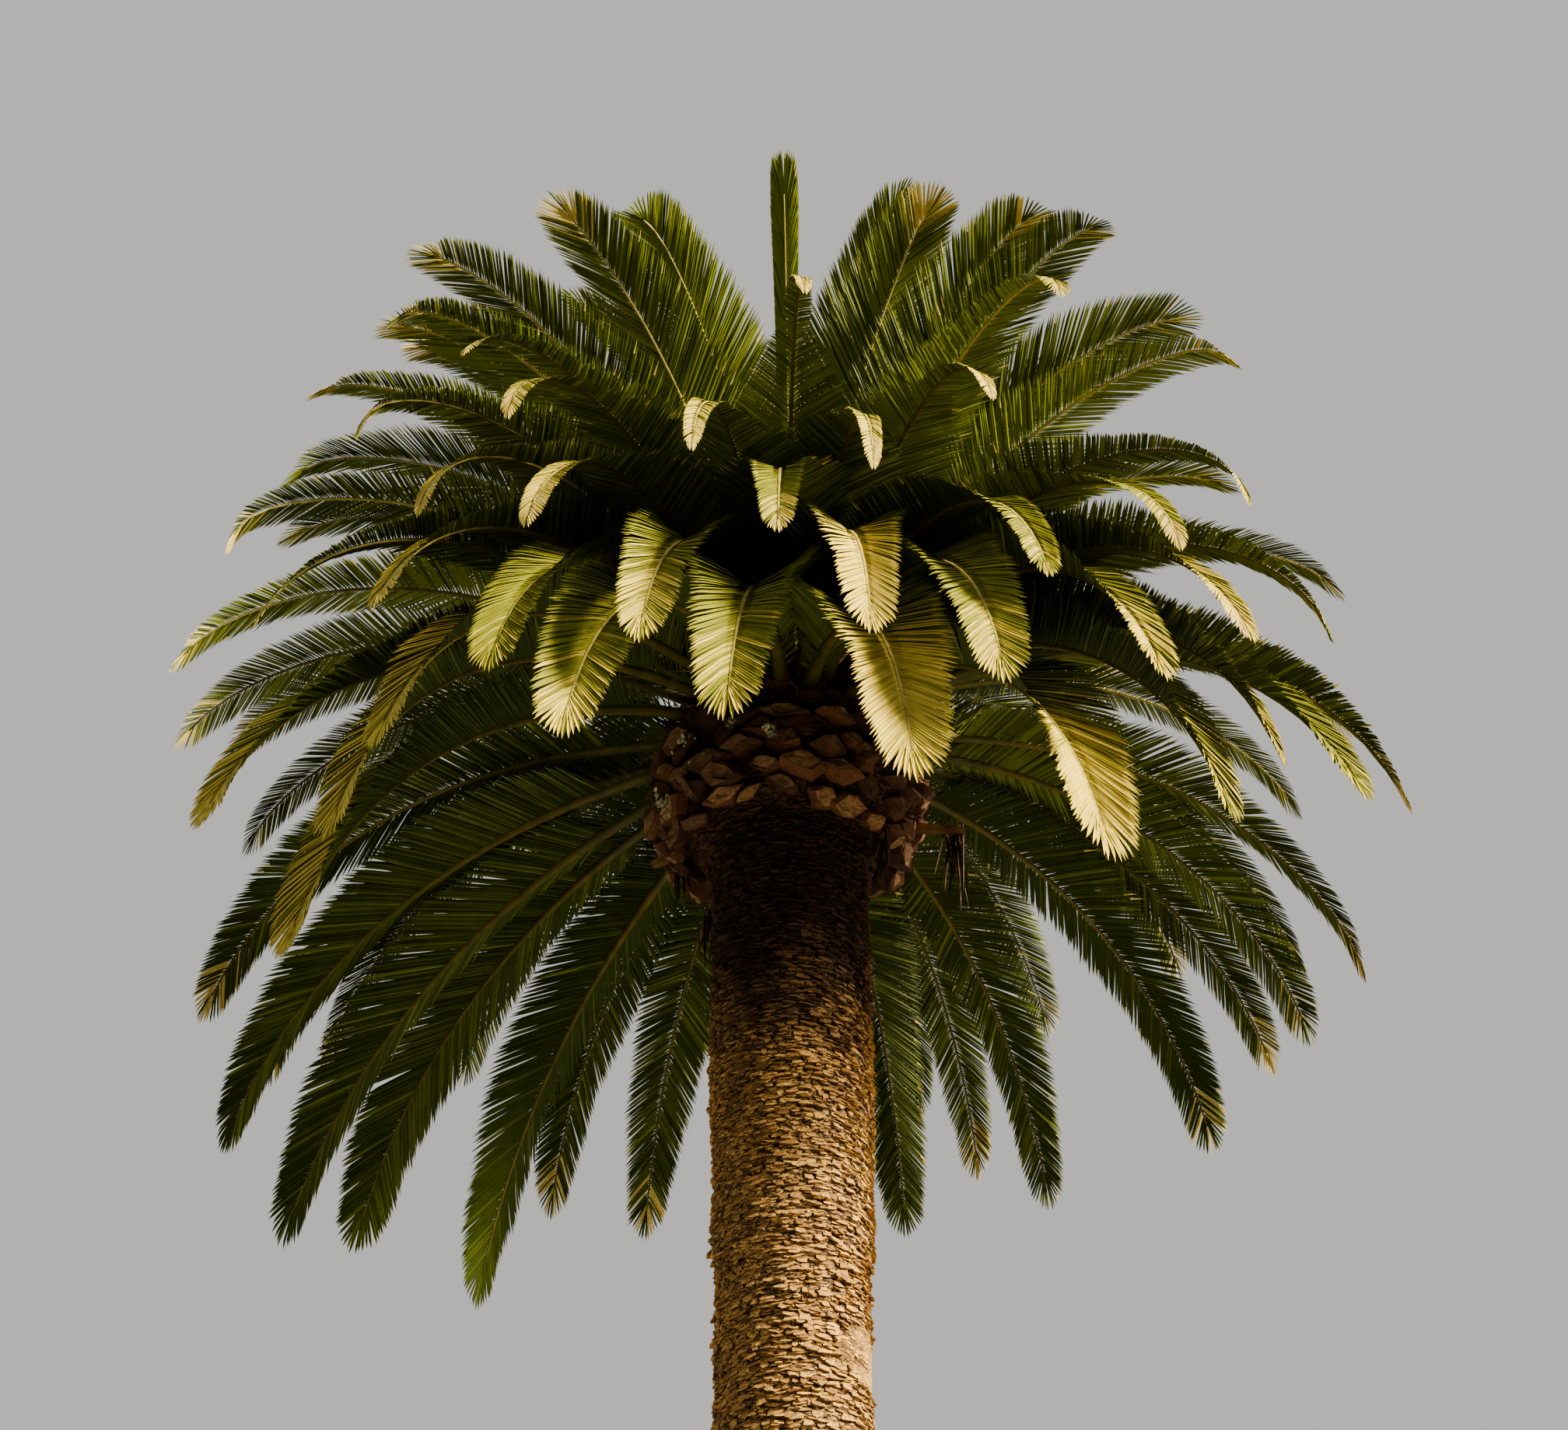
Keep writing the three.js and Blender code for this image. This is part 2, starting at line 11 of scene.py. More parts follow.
import bpy
import numpy as np
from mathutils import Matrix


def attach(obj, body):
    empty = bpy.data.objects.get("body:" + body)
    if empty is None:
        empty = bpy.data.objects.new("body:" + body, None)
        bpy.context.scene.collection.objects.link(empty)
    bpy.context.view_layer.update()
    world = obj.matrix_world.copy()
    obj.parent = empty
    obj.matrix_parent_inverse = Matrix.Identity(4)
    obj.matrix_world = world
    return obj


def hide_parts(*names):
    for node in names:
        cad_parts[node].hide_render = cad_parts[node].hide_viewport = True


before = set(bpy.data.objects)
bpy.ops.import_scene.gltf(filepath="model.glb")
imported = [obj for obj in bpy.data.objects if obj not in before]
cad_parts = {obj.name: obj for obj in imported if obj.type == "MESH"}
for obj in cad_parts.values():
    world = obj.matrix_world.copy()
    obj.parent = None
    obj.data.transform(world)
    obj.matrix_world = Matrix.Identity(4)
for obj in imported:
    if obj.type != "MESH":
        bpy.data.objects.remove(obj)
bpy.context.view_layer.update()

# %% [markdown]
# ## The camera
# The photograph looks up at the crown from the ground. The camera stands at eye height in front
# of the tree and is pitched up, with the lens that gives the crown its width in the picture.

# %% Place the camera
# A new camera looks straight down; 90 degrees bring it level.
IMAGE_WIDTH = 2016
FOCAL_PIXELS = 2700
SENSOR_WIDTH = 36.0
EYE = (-0.074, -8.63, 1.6)
LEVEL, PITCH_UP = 90, 38.9

bpy.ops.object.camera_add(location=EYE, rotation=(math.radians(LEVEL + PITCH_UP), 0, 0))
camera = bpy.context.object
camera.name = "view_from_the_ground"
camera.data.sensor_width = SENSOR_WIDTH
camera.data.lens = SENSOR_WIDTH * FOCAL_PIXELS / IMAGE_WIDTH
bpy.context.scene.camera = camera
print("lens", round(camera.data.lens, 1), "mm")

# %% [markdown]
# ## How the fronds grow
# A palm makes one frond after another at its heart, and each bends further outwards as younger
# ones push up behind it. So one rule can place them all: a frond's age gives its seat on the
# cone, its launch, its bend and its length. The same rule, with the same seed, shaped the solids,
# and growing the ribs again here keeps the fine leaflets exactly on them.

# %% Measures of the stem, in millimetres
TRUNK_HEIGHT = 7600
LEAN, LEAN_UNTIL = -0.006, 5600
CROWN_SHIFT = -45
HEART_TOP, HEART_RADIUS = 9000, 60
RIM_HEIGHT, RIM_RADIUS = 8240, 600
CONE_OUT, CONE_DOWN = 0.85, 1.1
print("the crown stands on a cone from", RIM_HEIGHT, "to", HEART_TOP, "mm")

# %% Measures of a frond, and how launch, bend and length change from the spear to the oldest
OLDEST = 14
RIB_STEPS = 40
STALK_END = 0.2
BLADE_TEETH = 7
BLADE_END = 0.94
YOUNG_STALK, OLD_STALK = 40, 66
STALK_TAPER, RIB_THINNING = 0.85, 0.8
TIP_WIDTH = 12
LINK_RADIUS = 0.6
RIB_GAP = 4
TURN_STEP, AGE_STEP = 2, 0.25
DROP_SPREAD, LENGTH_SPREAD, SWAY_SPREAD, ROLL_SPREAD = 0.035, 0.02, 5, 22
SEED = 2694
LAUNCH = [86, 78, 70, 62, 55, 48, 41, 34, 27, 20, 12, 4, -4, -12, -20]
DROP = [30, 50, 62, 70, 76, 82, 86, 90, 92, 92, 90, 84, 76, 68, 60]
LENGTH = [3050, 2800, 2750, 2800, 2850, 2950, 3000, 3100, 3150, 3200, 3200, 3200, 3200, 3200, 3150]
YOUNG_BEND, OLD_BEND = 2.1, 1.2
STATIONS = [0, 0.09, STALK_END]
STATIONS += [STALK_END + (BLADE_END - STALK_END) * (i + 1) / BLADE_TEETH for i in range(BLADE_TEETH)]
STATIONS = np.array(STATIONS + [1.0])
print(len(STATIONS), "stations along a rib")

# %% Which fronds there are
# Each row is an age and the bearings of the fronds of that age in degrees, 0 to the right and
# 270 towards the front, with a twist of the blade where it has one.
FRONDS = [
    [1, [269], 78], [1, [293]], [1.8, [243, 297]], [3, [236, 307]], [4, [325, 355]],
    [4.7, [229, 304]], [5, [197, 184]], [6, [231, 217, 318, 353]], [7, [294, 5, 19]],
    [8, [244, 232, 270, 195, 182, 41, 166]], [9, [246, 286, 308, 24, 74, 127]],
    [10, [263, 277, 224, 250, 302, 317, 12, 21, 31, 68, 148]],
    [11, [238, 267, 289, 305, 332, 37, 59, 76, 107, 118, 158, 172]],
    [12, [274, 259, 246, 284, 216, 298, 311, 322]], [13, [249, 266, 279, 229, 127, 145, 169]],
    [14, [297, 220, 159]],
    [0, [95]], [1, [200, 40, 130]], [2, [350, 75, 160]], [3, [205, 20, 60, 105, 145]],
    [4, [213, 35, 80, 120, 165]], [5, [50, 95, 135]], [6, [65, 110, 150]],
    [7, [205, 45, 85, 125, 170]], [8, [60, 100, 140]], [10, [92, 240]], [12, [90, 235]], [13, [88, 310]],
]
print(sum(len(row[1]) for row in FRONDS), "fronds to grow")

# %% A stream of repeatable numbers between -1 and 1
# The classic multiply-and-add generator, because the solids' own script can run it as well.
MULTIPLIER, INCREMENT, MODULUS = 1664525, 1013904223, 4294967296
state = SEED


def spread():
    global state
    state = (state * MULTIPLIER + INCREMENT) % MODULUS
    return state / MODULUS * 2 - 1


print("the stream starts from", state)


# %% Small sums used all over
TINY = 1e-12


def mix(a, b, t):
    return a + (b - a) * t


def along(values, t):
    return np.interp(t, np.linspace(0, 1, len(values)), values)


def unit(v):
    return v / np.maximum(np.linalg.norm(v, axis=-1, keepdims=True), TINY)


def eased(t):
    return t * t * (3 - 2 * t)


def stem_centre(z):
    top = eased(np.clip((z - LEAN_UNTIL) / (TRUNK_HEIGHT - LEAN_UNTIL), 0, 1))
    return LEAN * z * (1 - top) + CROWN_SHIFT * top


def stem_point(z):
    return np.stack([stem_centre(z), 0 * z, z], -1)


def outwards(turn):
    return np.stack([np.cos(turn), np.sin(turn), 0 * turn], -1)


print("halfway up, the stem stands", round(float(stem_centre(TRUNK_HEIGHT / 2)), 1), "mm aside")

# %% The rib of a frond. The hook at its end is nil in the solids and is set further down
HOOK_FROM = 0.82


def heading(frond, t):
    hook = frond["hook"] * np.clip((t - HOOK_FROM) / (1 - HOOK_FROM), 0, 1) ** 2
    rise = np.radians(frond["launch"] - frond["drop"] * t ** frond["bend"] - hook)
    turn = np.radians(frond["bearing"] + frond["sway"] * t * t)
    return np.stack([np.cos(rise) * np.cos(turn), np.cos(rise) * np.sin(turn), np.sin(rise)], -1)


def rib_point(frond, t):
    place, steps = np.clip(t, 0, 1) * RIB_STEPS, np.arange(RIB_STEPS + 1)
    return np.stack([np.interp(place, steps, frond["points"][:, k]) for k in range(3)], -1)


def rib_width(frond, t):
    stalk = mix(YOUNG_STALK, OLD_STALK, frond["age"] / OLDEST)
    slim = stalk * STALK_TAPER
    blade = np.clip((t - STALK_END) / (1 - STALK_END), 0, 1) ** RIB_THINNING
    return np.where(t < STALK_END, mix(stalk, slim, t / STALK_END), mix(slim, TIP_WIDTH, blade))


def rib_axes(frond, t):
    forward = heading(frond, t)
    flat = unit(np.stack([forward[..., 1], -forward[..., 0], 0 * forward[..., 0]], -1))
    normal = np.cross(flat, forward)
    roll = np.radians(frond["twist"] + frond["roll"] * t)[..., None]
    return forward, normal * np.cos(roll) + flat * np.sin(roll), flat * np.cos(roll) - normal * np.sin(roll)


def trace(frond, seat):
    steps = heading(frond, (np.arange(RIB_STEPS) + 0.5) / RIB_STEPS) * frond["length"] / RIB_STEPS
    frond["points"] = np.cumsum(np.concatenate([seat, steps]), axis=0)


def grow(age, bearing, twist, traits):
    u = age / OLDEST
    frond = {
        "age": age, "bearing": bearing, "twist": twist,
        "launch": along(LAUNCH, u),
        "drop": along(DROP, u) * (1 + DROP_SPREAD * traits[0]),
        "length": along(LENGTH, u) * (1 + LENGTH_SPREAD * traits[1]),
        "bend": mix(YOUNG_BEND, OLD_BEND, u),
        "sway": SWAY_SPREAD * traits[2],
        "roll": ROLL_SPREAD * traits[3],
        "hook": 0,
    }
    radius = mix(HEART_RADIUS, RIM_RADIUS, u ** CONE_OUT)
    z = mix(HEART_TOP, RIM_HEIGHT, u ** CONE_DOWN)
    trace(frond, (stem_point(z) + outwards(math.radians(bearing)) * radius)[None])
    at = rib_point(frond, STATIONS)
    frond["links"] = (at[:-1], at[1:], rib_width(frond, STATIONS[:-1]) * LINK_RADIUS)
    return frond


print("a rib is traced in", RIB_STEPS, "steps")


# %% Ribs keep clear of each other: the shortest distance between their straight links
NEARLY_PARALLEL = 1e-9


def clear_of(frond, placed):
    if not placed:
        return True
    p_from, p_to, p_radius = (a[:, None] for a in frond["links"])
    others = [np.concatenate([other["links"][k] for other in placed])[None] for k in range(3)]
    q_from, q_to, q_radius = others
    u, v, w = p_to - p_from, q_to - q_from, p_from - q_from
    uu, vv, uv, uw, vw = ((a * b).sum(-1) for a, b in ((u, u), (v, v), (u, v), (u, w), (v, w)))
    level = np.maximum(uu * vv - uv * uv, NEARLY_PARALLEL)
    first = np.clip((uv * vw - vv * uw) / level, 0, 1)
    t = np.clip((uv * first + vw) / vv, 0, 1)
    s = np.clip((uv * t - uw) / uu, 0, 1)
    distance = np.linalg.norm(w + u * s[..., None] - v * t[..., None], axis=-1)
    return bool((distance > p_radius + q_radius + RIB_GAP).all())


TURN_TRIES, AGE_TRIES = 8, 4
AGE_COST, TIE_OF_TURN, TIE_OF_AGE = 1.3, 0.01, 0.001
MOVES = sorted(
    (
        abs(turns) + AGE_COST * abs(ages) + TIE_OF_TURN * turns + TIE_OF_AGE * ages,
        turns * TURN_STEP,
        ages * AGE_STEP,
    )
    for turns in range(-TURN_TRIES, TURN_TRIES + 1)
    for ages in range(-AGE_TRIES, AGE_TRIES + 1)
)
print(len(MOVES), "places to try for each frond, the nearest first")

# %% Grow the crown: each frond takes the nearest place where its rib is clear
crown = []
for age, bearings, *twist in FRONDS:
    for bearing in bearings:
        traits = [spread() for _ in range(4)]
        for _, turn, older in MOVES:
            moved = min(max(age + older, 0), OLDEST)
            frond = grow(moved, bearing + turn, twist[0] if twist else 0, traits)
            if clear_of(frond, crown):
                crown.append(frond)
                break
print(len(crown), "fronds")

# %% Which solid holds each frond: the one with a corner at the rib's tip
solid_corners = {}
for name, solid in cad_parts.items():
    if name.startswith("fronds_"):
        co = np.empty(len(solid.data.vertices) * 3)
        solid.data.vertices.foreach_get("co", co)
        solid_corners[name] = co.reshape(-1, 3) * 1000
worst = 0
for frond in crown:
    tip = frond["points"][-1]
    gaps = {name: np.linalg.norm(co - tip, axis=1).min() for name, co in solid_corners.items()}
    frond["node"] = min(gaps, key=gaps.get)
    worst = max(worst, gaps[frond["node"]])
print("tips are within", round(float(worst), 2), "mm of the solids")
crown.sort(key=lambda frond: frond["node"])

# %% The last fifth of a real rib is thin and hooks down further than its solid
HOOK = 95
HOOK_AGES = (1.5, 11)
hooks = np.random.default_rng(SEED + 2)
for frond in crown:
    frond["spear"] = frond["twist"] > 0
    frond["twist"] = 0
    hooked = HOOK_AGES[0] < frond["age"] < HOOK_AGES[1]
    share = (1 - frond["age"] / HOOK_AGES[1]) ** 0.5 if hooked else 0
    frond["hook"] = HOOK * hooks.random() * share
    trace(frond, frond["points"][:1].copy())
print("tips hook down by up to", HOOK, "degrees")

# %% [markdown]
# ## Materials
# Every finish is built from nodes. Colours are given as the hex values a painter would pick and
# turned to linear light, and each pattern's scale comes from a real size. Leaf, stalk and dry
# tissue are all skins with a soft change of colour and a fine grain, so one recipe serves them.

# %% Colours by the standard sRGB curve, and a small helper for nodes
def linear(colour):
    channels = [int(colour[i:i + 2], 16) / 255 for i in (1, 3, 5)]
    return tuple(c / 12.92 if c <= 0.04045 else ((c + 0.055) / 1.055) ** 2.4 for c in channels) + (1.0,)


def add(tree, kind, links=None, **settings):
    made = tree.nodes.new("ShaderNode" + kind)
    for key, value in settings.items():
        setattr(made, key, value)
    for socket, value in (links or {}).items():
        if isinstance(value, bpy.types.NodeSocket):
            tree.links.new(value, made.inputs[socket])
        else:
            made.inputs[socket].default_value = value
    return made


def new_material(name):
    material = bpy.data.materials.new(name)
    material.use_nodes = True
    material.node_tree.nodes.clear()
    return material, material.node_tree


def per_metre(size_mm):
    return 1000 / size_mm


print("a hex grey of #808080 is", round(linear("#808080")[0], 3), "in linear light")

# %% One recipe for the skins of plants
# A pattern is its size in mm, its detail and the range of it that runs from the dark tone to the
# light one. A grain is its size in mm, its detail, its strength and its height in metres.
PLANT_IOR = 1.45


def plant_skin(name, dark, light, pattern, grain, roughness, gloss):
    pattern_mm, pattern_detail, low, high = pattern
    grain_mm, grain_detail, strength, relief = grain
    material, tree = new_material(name)
    here = add(tree, "TexCoord").outputs["Object"]
    cloud = add(tree, "TexNoise", {"Vector": here, "Scale": per_metre(pattern_mm), "Detail": pattern_detail})
    ramp = add(tree, "MapRange", {"Value": cloud.outputs["Fac"], "From Min": low, "From Max": high})
    tone = add(tree, "Mix", {
        "Factor": ramp.outputs["Result"], 6: linear(dark), 7: linear(light),
    }, data_type="RGBA")
    fibre = add(tree, "TexNoise", {"Vector": here, "Scale": per_metre(grain_mm), "Detail": grain_detail})
    bump = add(tree, "Bump", {"Height": fibre.outputs["Fac"], "Strength": strength, "Distance": relief})
    skin = add(tree, "BsdfPrincipled", {
        "Base Color": tone.outputs[2], "Roughness": roughness, "IOR": PLANT_IOR,
        "Specular IOR Level": gloss, "Normal": bump.outputs["Normal"],
    })
    add(tree, "OutputMaterial", {"Surface": skin.outputs["BSDF"]})
    return material


print("plant skins have an IOR of", PLANT_IOR)

# %% Leaf blade: living leaf under a bloom of wax
# The wax scatters light, so the shine is weak and broad. The blade is dull olive below and paler
# and yellower above: partly its own colour, and partly painted shade and sunlight, the under tones
# darkened as painted shade and the upper tones lightened and yellowed as painted sunlight. Its dry
# ends are straw. Each row is the dark and the light tone, the roughness and the gloss. The green
# drifts over 90 mm, the width of a few leaflets; the veins are 1 mm apart, too fine to show, and
# are drawn as a 12 mm grain.
LEAF_DRIFT, LEAF_GRAIN = (90, 3.0, 0.0, 1.0), (12, 2.0, 0.25, 0.002)
LEAF_TONES = {
    "leaf_under_deep": ("#2b360d", "#414c17", 0.55, 0.12),
    "leaf_under_olive": ("#3e4914", "#586222", 0.5, 0.15),
    "leaf_under_fresh": ("#535e1d", "#79832f", 0.45, 0.2),
    "leaf_upper_green": ("#5f6421", "#8d8c36", 0.6, 0.12),
    "leaf_upper_yellow_and_sunlit": ("#a69640", "#d8c567", 0.62, 0.1),
    "leaf_tip_straw": ("#a39048", "#d0c074", 0.6, 0.2),
}
leaf_materials = [
    plant_skin(name, dark, light, LEAF_DRIFT, LEAF_GRAIN, roughness, gloss)
    for name, (dark, light, roughness, gloss) in LEAF_TONES.items()
]
# The upper tones are partly painted sunlight; the under tones are partly painted shade.
UPPER_GREEN, UPPER_YELLOW_AND_SUNLIT, STRAW = 3, 4, 5
print(len(leaf_materials), "leaf tones")

# %% Leaf stalk: a hard, faintly waxed rind over bundles of fibre
# The rind is smooth enough for a soft streak of light along the stalk. It is brown where the
# sheath starts, olive on the stalk, straw below the rib and cream above it, where it bleaches.
# Each row is the dark and the light tone, the length in mm of the streaks in which the rind
# ages, and the roughness.
STALK_GLOSS = 0.25
STALK_TONES = {
    "stalk_root_brown": ("#3f2b14", "#67502a", 60, 0.8),
    "stalk_olive": ("#3f3f17", "#5b5725", 70, 0.45),
    "rib_straw_olive": ("#4b4519", "#655b27", 70, 0.65),
    "rib_cream_above": ("#857a3c", "#b0a35c", 70, 0.6),
}
stalk_materials = [
    plant_skin(name, dark, light, (streak, 5.0, 0.3, 0.7), (streak, 5.0, 0.4, 0.004), roughness, STALK_GLOSS)
    for name, (dark, light, streak, roughness) in STALK_TONES.items()
]
ROOT_BROWN, RIB_STRAW, RIB_CREAM = 0, 2, 3
print(len(stalk_materials), "stalk tones")

# %% Dry leaf, dry sheath fibre and the crust of lichen: dead or powdery, so all are matt
# Dead tissue has lost its wax and splits along fibres that are 3 mm apart, drawn 20 mm wide here
# to show. Lichen is a grey-green powdery crust, duller still.
DRY_STREAK, DRY_GRAIN, DRY_GLOSS = (20, 4.0, 0.35, 0.65), (20, 4.0, 0.5, 0.003), 0.5
DRY_TONES = {
    "dry_brown_leaf": ("#1d1108", "#46301a", 0.85),
    "dry_sheath_fibre": ("#4a3018", "#8a6636", 0.85),
    "lichen_crust": ("#6f6d4c", "#b5b18a", 0.95),
}
dry_materials = [
    plant_skin(name, dark, light, DRY_STREAK, DRY_GRAIN, roughness, DRY_GLOSS)
    for name, (dark, light, roughness) in DRY_TONES.items()
]
dry_leaf, sheath_fibre, lichen_crust = dry_materials
print(len(dry_materials), "dry tones")

# %% Bark: weathered tan flakes over dark cracks, darker and redder high up under the crown
# The darker top is partly the bark's own colour and partly painted shadow of the crown.
# Palm bark is the dry, torn foot of old leaves, dull all over. Its cells are as wide as the flakes,
# 56 mm, and a third as high, and its grain is the 16 mm bundle of fibres, drawn a little coarse.
# Three attributes of the mesh steer it: depth, which is painted shade in gaps and under flakes,
# its tint and how cracked it is.
BARK_SHADES = ("depth", "tint", "crackle")
FLATTEN = 3.4
TEAR, TEAR_MM = 0.02, 38
TERRACES, TERRACE_SPAN = 5, 1.8
PATCH_MM, PATCH_WANDER, FADE_METRES = 240, 1.2, 0.7


def bark_material(name, tones, darker_and_shaded_above, flake_mm, grain_mm, roughness):
    crack_and_painted_shade, shade, plate, pale, high_shade, high_plate = (linear(tone) for tone in tones)
    material, tree = new_material(name)
    here = add(tree, "TexCoord").outputs["Object"]
    depth, tint, crackle = (
        add(tree, "Attribute", attribute_name=key).outputs["Fac"] for key in BARK_SHADES
    )
    rough = add(tree, "TexNoise", {"Vector": here, "Scale": per_metre(TEAR_MM), "Detail": 3.0})
    torn = add(tree, "VectorMath", {
        0: rough.outputs["Color"], 1: (TEAR, TEAR, TEAR), 2: here,
    }, operation="MULTIPLY_ADD")
    squashed = add(tree, "Mapping", {"Vector": torn.outputs["Vector"], "Scale": (1.0, 1.0, FLATTEN)})
    flat = squashed.outputs["Vector"]
    flake = add(tree, "TexVoronoi", {"Vector": flat, "Scale": per_metre(flake_mm)})
    edge = add(tree, "TexVoronoi", {"Vector": flat, "Scale": per_metre(flake_mm)}, feature="DISTANCE_TO_EDGE")
    opened = add(tree, "MapRange", {
        "Value": edge.outputs["Distance"], "From Min": 0.01, "From Max": 0.09, "To Min": 0.85, "To Max": 0.0,
    })
    swell = add(tree, "TexNoise", {
        "Vector": flat, "Scale": per_metre(flake_mm * TERRACE_SPAN), "Detail": 2.0,
    })
    terrace = add(tree, "Math", {0: swell.outputs["Fac"], 1: TERRACES}, operation="MULTIPLY")
    step = add(tree, "Math", {0: terrace.outputs["Value"], 1: 0.5}, operation="PINGPONG")
    seam = add(tree, "MapRange", {
        "Value": step.outputs["Value"], "From Min": 0.04, "From Max": 0.2, "To Min": 1.0, "To Max": 0.0,
    })
    cracks = add(tree, "Math", {0: opened.outputs["Result"], 1: seam.outputs["Result"]}, operation="MAXIMUM")
    split = add(tree, "Math", {0: cracks.outputs["Value"], 1: crackle}, operation="MULTIPLY")
    # Dark is the texture's cracks together with the painted shade of the depth attribute, both in the crack
    # tone.
    dark = add(tree, "Math", {0: split.outputs["Value"], 1: depth}, operation="MAXIMUM")
    grain = add(tree, "TexNoise", {
        "Vector": flat, "Scale": per_metre(grain_mm), "Detail": 6.0, "Roughness": 0.65,
    })
    worn = add(tree, "MapRange", {"Value": grain.outputs["Fac"], "From Min": 0.32, "From Max": 0.6})
    mottle = add(tree, "Math", {0: flake.outputs["Color"], 1: 0.5, 2: tint}, operation="MULTIPLY_ADD")
    pick = add(tree, "MapRange", {"Value": mottle.outputs["Value"], "From Min": 0.15, "From Max": 1.2})
    patch = add(tree, "TexNoise", {"Vector": here, "Scale": per_metre(PATCH_MM), "Detail": 3.0})
    place = add(tree, "SeparateXYZ", {"Vector": here})
    height = add(tree, "Math", {
        0: patch.outputs["Fac"], 1: PATCH_WANDER, 2: place.outputs["Z"],
    }, operation="MULTIPLY_ADD")
    # High up the tones turn darker: partly the bark's own colour, partly painted shadow of the crown.
    high = add(tree, "MapRange", {
        "Value": height.outputs["Value"], "From Min": darker_and_shaded_above, "From Max": darker_and_shaded_above + FADE_METRES,
    })
    layers = []
    for hollow, dull, bright in ((shade, plate, pale), (high_shade, high_shade, high_plate)):
        base = add(tree, "Mix", {"Factor": pick.outputs["Result"], 6: dull, 7: bright}, data_type="RGBA")
        layer = add(tree, "Mix", {
            "Factor": worn.outputs["Result"], 6: hollow, 7: base.outputs[2],
        }, data_type="RGBA")
        layers.append(layer.outputs[2])
    plates = add(tree, "Mix", {
        "Factor": high.outputs["Result"], 6: layers[0], 7: layers[1],
    }, data_type="RGBA")
    colour = add(tree, "Mix", {
        "Factor": dark.outputs["Value"], 6: plates.outputs[2], 7: crack_and_painted_shade,
    }, data_type="RGBA")
    sunk = add(tree, "Bump", {
        "Height": split.outputs["Value"], "Strength": 0.8, "Distance": 0.012,
    }, invert=True)
    bump = add(tree, "Bump", {
        "Height": grain.outputs["Fac"], "Strength": 0.6, "Distance": 0.006, "Normal": sunk.outputs["Normal"],
    })
    skin = add(tree, "BsdfPrincipled", {
        "Base Color": colour.outputs[2], "Roughness": roughness, "IOR": PLANT_IOR,
        "Normal": bump.outputs["Normal"],
    })
    add(tree, "OutputMaterial", {"Surface": skin.outputs["BSDF"]})
    return material


print("cracks follow", TERRACES, "terraces and the edges of the cells")

# %% Bark, matted fibre and sawn faces
# Each row of tones: crack, which also colours the painted shade in gaps and under flakes; shade,
# plate and pale plate; then shade and plate high up, darker partly as painted shadow of the crown.
BARK_TONES = ["#0f0804", "#37240f", "#916a3a", "#e9bc70", "#28180a", "#664727"]
FIBRE_TONES = ["#1c0f07", "#3a2311", "#5f3e20", "#845a30", "#3a2311", "#704a28"]
SAWN_TONES = ["#1a0f08", "#3a2717", "#604222", "#9a7547", "#4f3519", "#7c5a2f"]
bark = bark_material(
    "weathered_palm_bark", BARK_TONES, darker_and_shaded_above=6.8, flake_mm=56, grain_mm=16, roughness=0.9,
)
# Matted fibre is the rotted sheath between the stubs: the same torn tissue, redder and finer.
boss_fibre = bark_material(
    "matted_sheath_fibre", FIBRE_TONES, darker_and_shaded_above=7.0, flake_mm=60, grain_mm=14, roughness=0.9,
)
# A sawn face is smoother than torn bark, so it has a faint sheen. Its high tones would start 20 m
# up, above the whole tree, so only the low ones show.
cut_face = bark_material(
    "sawn_leaf_base", SAWN_TONES, darker_and_shaded_above=20, flake_mm=90, grain_mm=30, roughness=0.75,
)
print("bark, matted fibre and sawn faces made")

# %% [markdown]
# ## Leaflets
# Each leaflet is a narrow blade folded along its middle, so it is modelled as a thin closed
# V-shaped strip of thirteen faces. There are 36,300 of them and 2,640 spines, so their corners
# are worked out together as arrays, rib by rib, and joined into a few meshes.

# %% Join arrays of corners and faces to a mesh object
def set_shade(mesh, key, values):
    mesh.attributes.new(key, "FLOAT", "POINT").data.foreach_set("value", values.astype(np.float32))


def mesh_object(name, corners_mm, faces, materials, face_materials, smooth=False, **shades):
    mesh = bpy.data.meshes.new(name)
    places = (corners_mm.reshape(-1, 3) / 1000).astype(np.float32)
    sizes = np.concatenate([np.full(len(f), f.shape[1]) for f in faces])
    loops = np.concatenate([f.ravel() for f in faces])
    starts = np.concatenate([[0], np.cumsum(sizes)[:-1]])
    mesh.vertices.add(len(places))
    mesh.vertices.foreach_set("co", places.ravel())
    mesh.loops.add(len(loops))
    mesh.loops.foreach_set("vertex_index", loops.astype(np.int32))
    mesh.polygons.add(len(sizes))
    mesh.polygons.foreach_set("loop_start", starts.astype(np.int32))
    mesh.polygons.foreach_set("material_index", face_materials.astype(np.int32))
    mesh.polygons.foreach_set("use_smooth", np.full(len(sizes), smooth))
    mesh.update(calc_edges=True)
    for key, values in shades.items():
        set_shade(mesh, key, values)
    for material in materials:
        mesh.materials.append(material)
    made = bpy.data.objects.new(name, mesh)
    bpy.context.scene.collection.objects.link(made)
    print(name, int((sizes - 2).sum()), "triangles")
    return made


print("meshes can now be made from arrays of corners")

